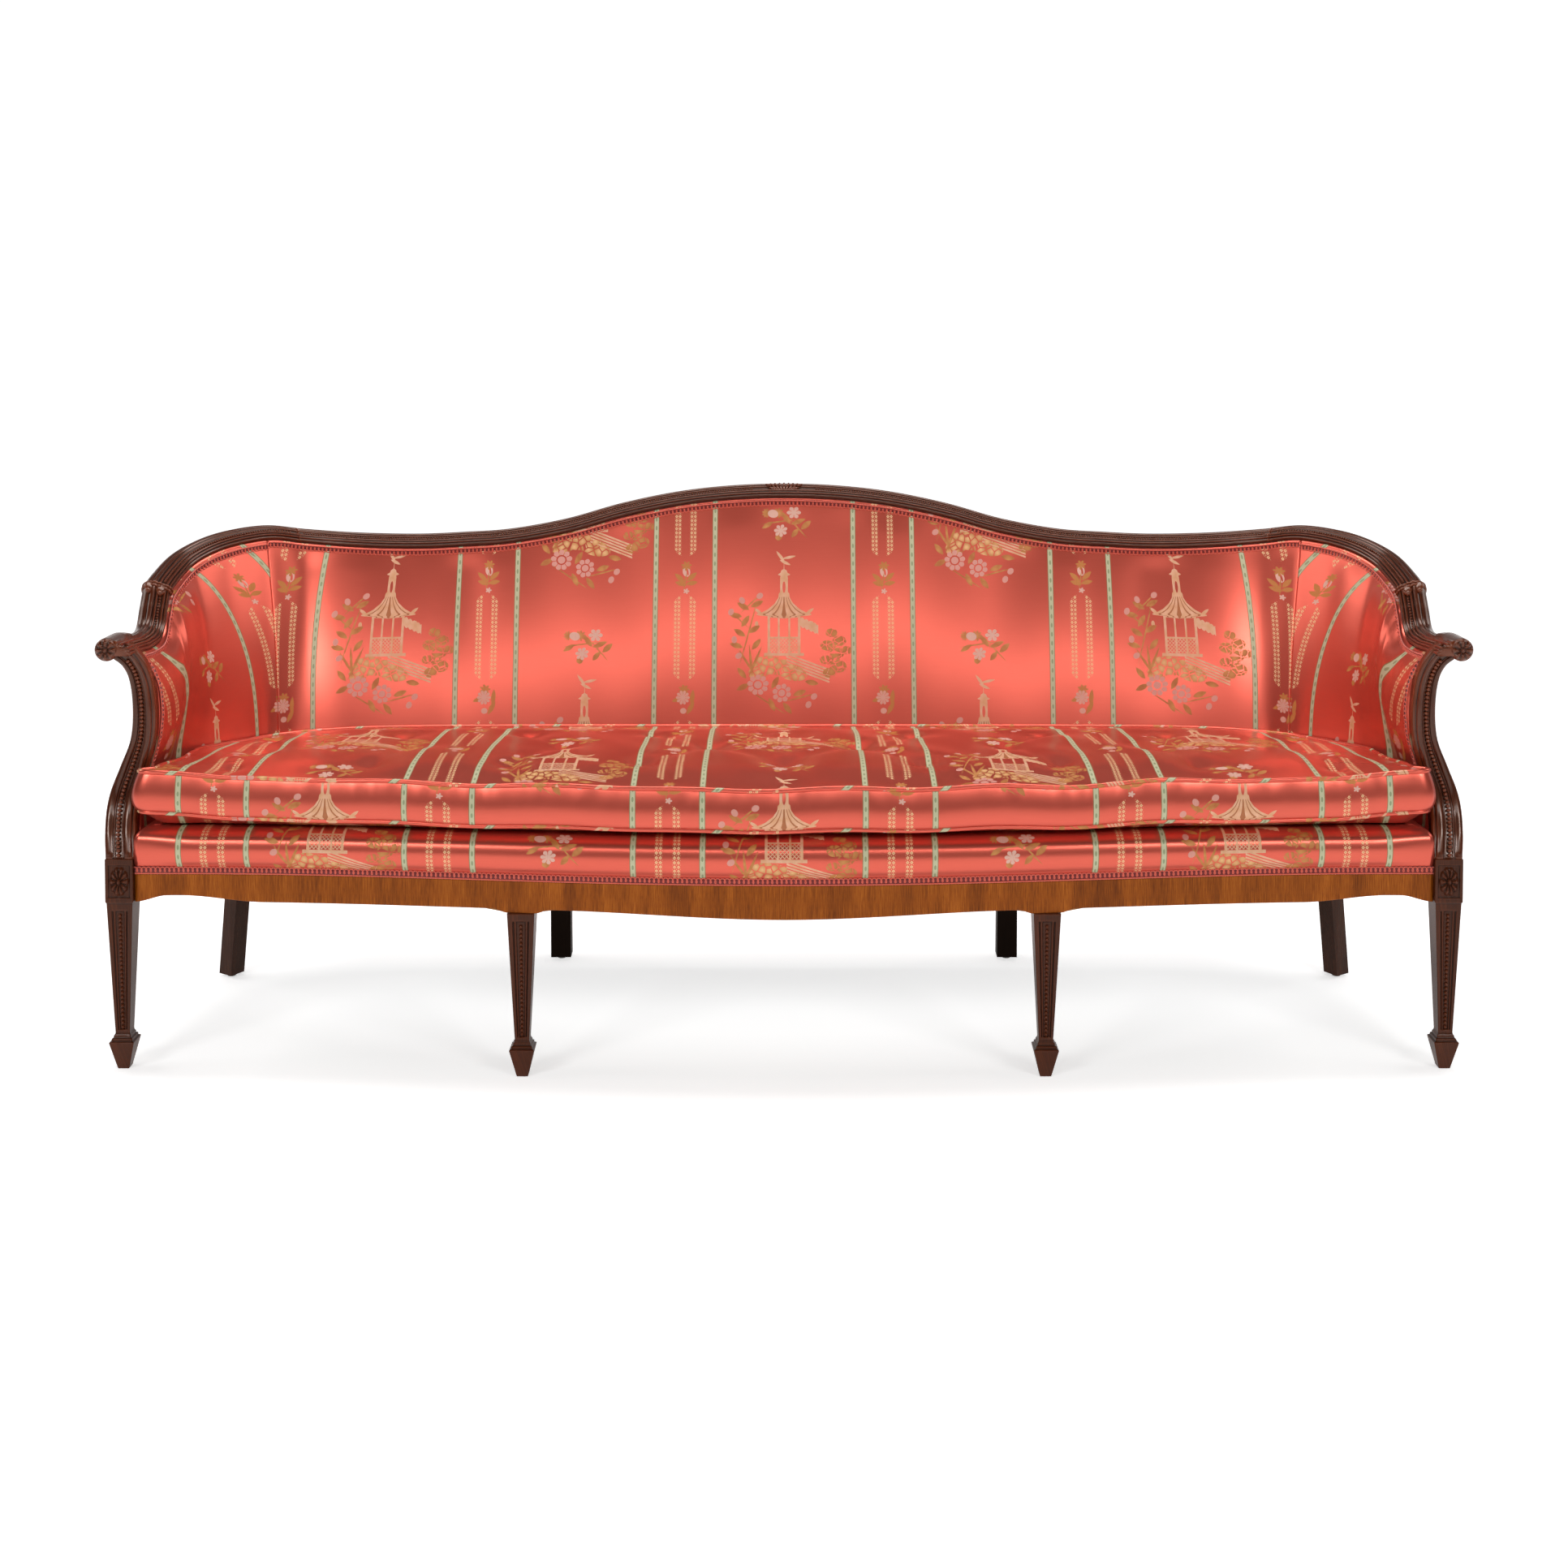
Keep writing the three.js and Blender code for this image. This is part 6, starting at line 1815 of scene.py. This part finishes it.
def boxing_place(height):
    """A ring of the boxing at a share of its height. The front bulges, with gathers."""
    bulge = np.sin(np.pi * height**0.68) ** 0.85
    forward = np.where(rim[:, 1] < -0.05, bulge * 0.009, bulge * 0.002)
    z = lerp(LOW_WELT, HIGH_WELT, height)
    gather = np.sin(np.pi * height) ** 0.5 * (
        0.0007 * wander(rim_length * 14, 21, 6, 0.6, 3.0)
        + 0.0004 * wander(rim_length * 30, 5, 5, 1.0, 3.0) * (height - 0.3)
    ) * (rim[:, 1] < -0.2)
    lean = np.clip((np.abs(rim[:, 0]) - CUSHION_HALF * 0.985) / 0.02, 0, 1)
    out = np.stack([lean * np.sign(rim[:, 0]), -np.ones(len(rim))], 1)
    place = rim + out * (forward + gather)[:, None]
    return np.column_stack([place, welt_height(z, rim) + wave(rim) * lerp(LOW_WAVE, 1.0, height)])


under_rows = np.array([under_place(s) for s in (1 - np.linspace(0, 1, 18) ** 1.5)])
box_rows = np.array([boxing_place(h) for h in np.linspace(0, 1, 22)])
top_rows = np.array([top_place(s) for s in np.linspace(0, 1, 64) ** 1.25])


def rim_across():
    """Cloth across the boxing: x along the front, then the distance round the corner."""
    out = rim[:, 0] * CLOTH_STRETCH
    quarter = len(rim) // 2
    corner = int(np.argmax(rim[:quarter, 0] > CUSHION_HALF))
    extra = rim_length[:quarter] - rim_length[corner] + rim[corner, 0] * CLOTH_STRETCH
    out[:quarter] = np.where(np.arange(quarter) > corner, extra, out[:quarter])
    out[-quarter:] = -out[:quarter][::-1]
    return out


WELT_V, BOXING_V = -0.037, 0.068  # the cloth at the upper welt, and down the boxing
middle_front = cushion_front(0.0)
top_chart = np.stack([
    top_rows[..., 0] * CLOTH_STRETCH, WELT_V + (top_rows[..., 1] - middle_front)
], -1)
box_chart = np.stack(np.broadcast_arrays(
    rim_across(), WELT_V + (np.linspace(0, 1, len(box_rows))[:, None] - 1) * BOXING_V
), -1)
under_chart = np.stack([
    under_rows[..., 0] * CLOTH_STRETCH, WELT_V - BOXING_V - (under_rows[..., 1] - middle_front)
], -1)
cushion = skin(
    "seat_cushion_silk",
    [patch(under_rows, under_chart), patch(box_rows, box_chart), patch(top_rows, top_chart)],
    striped_silk,
)
dress(cushion, "silk", "seat_cushion", body="cushion")
print("cushion faces", len(cushion.data.polygons))

# %% [markdown]
# The welts are cords covered with the same silk, cut on the bias, so their UV map runs slantwise.

# %% Welts
WELT_RADIUS, WELT_SIDES = 0.0036, 10
for name, row in (("lower_welt", box_rows[0]), ("upper_welt", box_rows[-1])):
    path = row[:-1] + (row[:-1, 1:2] < -0.05) * np.array([[0, -0.0012, 0]])
    length = distance_along(path)
    long = np.append(length, length[-1] + 0.0075)[:, None]
    turn = np.linspace(0, 2 * np.pi, WELT_SIDES + 1) * 0.0025
    chart = np.stack([long * 0.72 + turn, long * 0.7 - turn], -1) + (0.05, 0.1)
    cord = tube(path, WELT_RADIUS, WELT_SIDES, closed=True, chart=chart)
    dress(skin(f"cushion_{name}", cord, striped_silk), "silk", body="cushion")
print("welts done")

# %% [markdown]
# ## Looped braid
#
# Narrow braid hides the tacks where the silk meets the wood. Seen close, it is a cord that loops
# over itself on a darker tape, with a thicker cord along the wood. A line that runs forward while
# it circles makes exactly such loops, so a single tube follows it all the way.

# %% Braid along a path
BRAID_PITCH = 0.0072  # from loop to loop


def braid(name, path, out, width, stands_for):
    """Braid along a path that faces out, with its thick cord on the left of the path."""
    path, marks, _ = even_steps(path, BRAID_PITCH / 14)
    out = np.asarray(out, float)
    if out.ndim == 2:
        out = resample(out, np.linspace(0, 1, len(out)), np.linspace(0, 1, len(path)))
    out = unit(np.broadcast_to(out, path.shape))
    ahead = unit(np.gradient(path, axis=0))
    rise = unit(np.cross(ahead, out))
    turn = marks * 2 * np.pi / BRAID_PITCH
    loops = (
        path
        + ahead * (np.sin(turn) * BRAID_PITCH * 0.36)[:, None]
        + rise * (np.cos(turn) * width * 0.30 + width * 0.1)[:, None]
        + out * (0.0014 + 0.0005 * np.cos(turn + 0.9))[:, None]
    )
    parts = tube(loops, 0.00095, 5, up=out)
    coarse = slice(None, None, 4)
    swell_r = 0.0011 + 0.0003 * np.sin(turn[coarse] * 2)
    parts += tube((path - rise * width * 0.40 + out * 0.0012)[coarse], swell_r, 6, up=out[coarse])
    edge_a = (path + rise * width * 0.46 + out * 0.0002)[coarse]
    edge_b = (path - rise * width * 0.50 + out * 0.0002)[coarse]
    over = out[coarse] * 0.0006
    tape = np.stack([edge_a, edge_a + over, edge_b + over, edge_b, edge_a], 1)
    points, quads, chart = patch(tape)
    parts.append((points, quads, chart + (TAPE_ASIDE, 0)))
    return dress(skin(name, parts, braid_silk), "braid", stands_for)


station = np.linspace(-SEAM + 0.02, SEAM - 0.02, 700)
line = wall(station, 0.9825)
_, inward = rail_frame(station)
crest_braid = braid("braid_under_crest", line, inward, 0.0115, "braid_back")
x = np.linspace(FRONT_HALF, -FRONT_HALF, 700)
line = np.stack([x, front_face(x) - 0.0006, 0 * x + RAIL_TOP + 0.006], 1)
rail_braid = braid("braid_on_front_rail", line, (0, -1, 0), 0.0125, "braid_front")
for side, hand in SIDES:
    station = np.linspace(side * (SEAM + 0.02), side * 19.2, 420)
    top_line = wall(station, 0.975)
    _, top_in = rail_frame(station)
    stop_h = np.linspace(0.955, 0.28, 120)
    stop_s = arm_end(side, 0.0, 0.0068)(stop_h)
    down_line = wall(stop_s, stop_h)
    _, down_in = rail_frame(stop_s)
    behind = top_line[:, 1] > down_line[0, 1] + 0.002
    path = np.vstack([top_line[behind], down_line])
    out = np.vstack([top_in[behind], down_in])
    if side < 0:
        path, out = path[::-1], out[::-1]
    braid(f"braid_on_arm_{hand}", path, out, 0.0115, f"braid_arm_{hand}")
print("braid faces", len(crest_braid.data.polygons), len(rail_braid.data.polygons))

# %% [markdown]
# ## Under the seat
#
# Black cambric closes the underside. It is tacked flat to the rails. Its skin is two sheets less
# than a millimetre apart, with a hem round the rim and a strip where the rows meet in the middle.

# %% Dust cover
low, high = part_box("dust_cover")
x = np.linspace(-1, 1, 81) * DECK_HALF
rim_front = np.stack([x, np.maximum(front_face(x) + 0.03395, FRONT + 0.0436)], 1)
edge_points, edge_in = rail_frame(np.linspace(19.4, -19.4, 121))
rim_back = (edge_points + edge_in * 0.034)[:, :2]
rim_dust = np.vstack([rim_front, rim_back, rim_front[:1]])
spine_x = np.clip(rim_dust[:, 0], -0.75, 0.75)
spine = np.stack([spine_x, 0 * spine_x - 0.06], 1)
flat_rows = np.array([lerp(rim_dust, spine, s) for s in np.linspace(0, 1, 20)])
under_side = np.concatenate([flat_rows, 0 * flat_rows[..., :1] + low.z + 0.0006], -1)
upper_side = under_side + (0, 0, 0.0008)
hem, middle_seam = (np.stack([under_side[k], upper_side[k]]) for k in (0, -1))
dust = skin(
    "dust_cover_cambric",
    [patch(sheet, sheet[..., :2]) for sheet in (under_side, upper_side, hem, middle_seam)],
    cambric,
)
dress(dust, "dust_cloth", "dust_cover")

# %% [markdown]
# ## Floor and surround
#
# The sofa stands on a wide pale floor with a pale surround, so that only soft shadows show. The
# floor glows a little, as an overlit studio floor does, and more with distance, so that it meets
# the surround without a horizon. Under the sofa it glows more, as painted light over the sofa's
# shadow there. Both are bright only to the camera. What they send to the sofa is low, apart from
# the paper behind it, so that the satin keeps its dark and bright bands; the floor's low glow is a
# painted fill light from below.

# %% Floor and surround
def grey(level):
    return (level, level, level, 1)


FLOOR_REACH = 40.0
NEAR_GLOW, UNDER_SOFA_PAINTED_LIGHT, GLOW_ON_SOFA = 0.55, 0.71, 0.31
floor_points = np.array([[[-1, -1, 0], [1, -1, 0]], [[-1, 1, 0], [1, 1, 0]]]) * FLOOR_REACH
floor_finish = Finish("pale_floor")
floor_place = floor_finish.object_place()
mottle = floor_finish.noise(floor_place, 3.0, 2.0)
glow = floor_finish.add(
    "ShaderNodeValToRGB",
    {"stops": [(0.0, grey(NEAR_GLOW)), (0.3, grey(0.6)), (0.6, grey(1.0))]},
    [floor_place.length() / 8.0],
)
# Painted light: the floor glows brighter in an oval under the sofa, over the sofa's shadow.
across, along = floor_place[0], (floor_place[1] - 0.1) / 0.42
painted_light_under_sofa = (1.0 - across * across - along * along) * 1.5
painted_light_under_sofa = painted_light_under_sofa.math("MINIMUM", 1.0).math("MAXIMUM", 0.0)
glow = floor_finish.mix(painted_light_under_sofa, glow, grey(UNDER_SOFA_PAINTED_LIGHT))
# To all other rays the floor glows at GLOW_ON_SOFA, a painted fill light on the sofa from below.
seen_direct = floor_finish.add("ShaderNodeLightPath", {}, [])
glow = floor_finish.mix(seen_direct, grey(GLOW_ON_SOFA), glow)
pale_floor = floor_finish.set(
    base_color=floor_finish.mix(mottle, tone(248, 248, 248), tone(244, 244, 243)),
    roughness=0.75,
    emission_color=glow,
    emission_strength=1.0,
)
floor = skin("studio_floor", [patch(floor_points)], pale_floor)
world = bpy.data.worlds.new("pale_surround")
world.use_nodes = True
bpy.context.scene.world = world
surround = world.node_tree
background = surround.nodes["Background"]
background.inputs[0].default_value = (1, 1, 1, 1)
seen = surround.nodes.new("ShaderNodeLightPath")
sky = surround.nodes.new("ShaderNodeTexCoord")
way = surround.nodes.new("ShaderNodeSeparateXYZ")
surround.links.new(sky.outputs["Generated"], way.inputs[0])
paper = surround.nodes.new("ShaderNodeMath")
paper.operation = "MULTIPLY"
# The paper fades upwards (Z), and it hangs behind the sofa (Y).
for i, (axis, spans) in enumerate(((2, (0.1, 0.5, 0.9, 0.04)), (1, (0.1, 0.6, 0.04, 1.0)))):
    fade = surround.nodes.new("ShaderNodeMapRange")
    for socket, value in zip(("From Min", "From Max", "To Min", "To Max"), spans):
        fade.inputs[socket].default_value = value
    surround.links.new(way.outputs[axis], fade.inputs["Value"])
    surround.links.new(fade.outputs[0], paper.inputs[i])
level = surround.nodes.new("ShaderNodeMix")
level.inputs["B"].default_value = 1.05
surround.links.new(seen.outputs["Is Camera Ray"], level.inputs["Factor"])
surround.links.new(paper.outputs[0], level.inputs["A"])
surround.links.new(level.outputs[0], background.inputs[1])
bpy.context.scene.view_settings.view_transform = "Standard"
print("floor and surround ready")
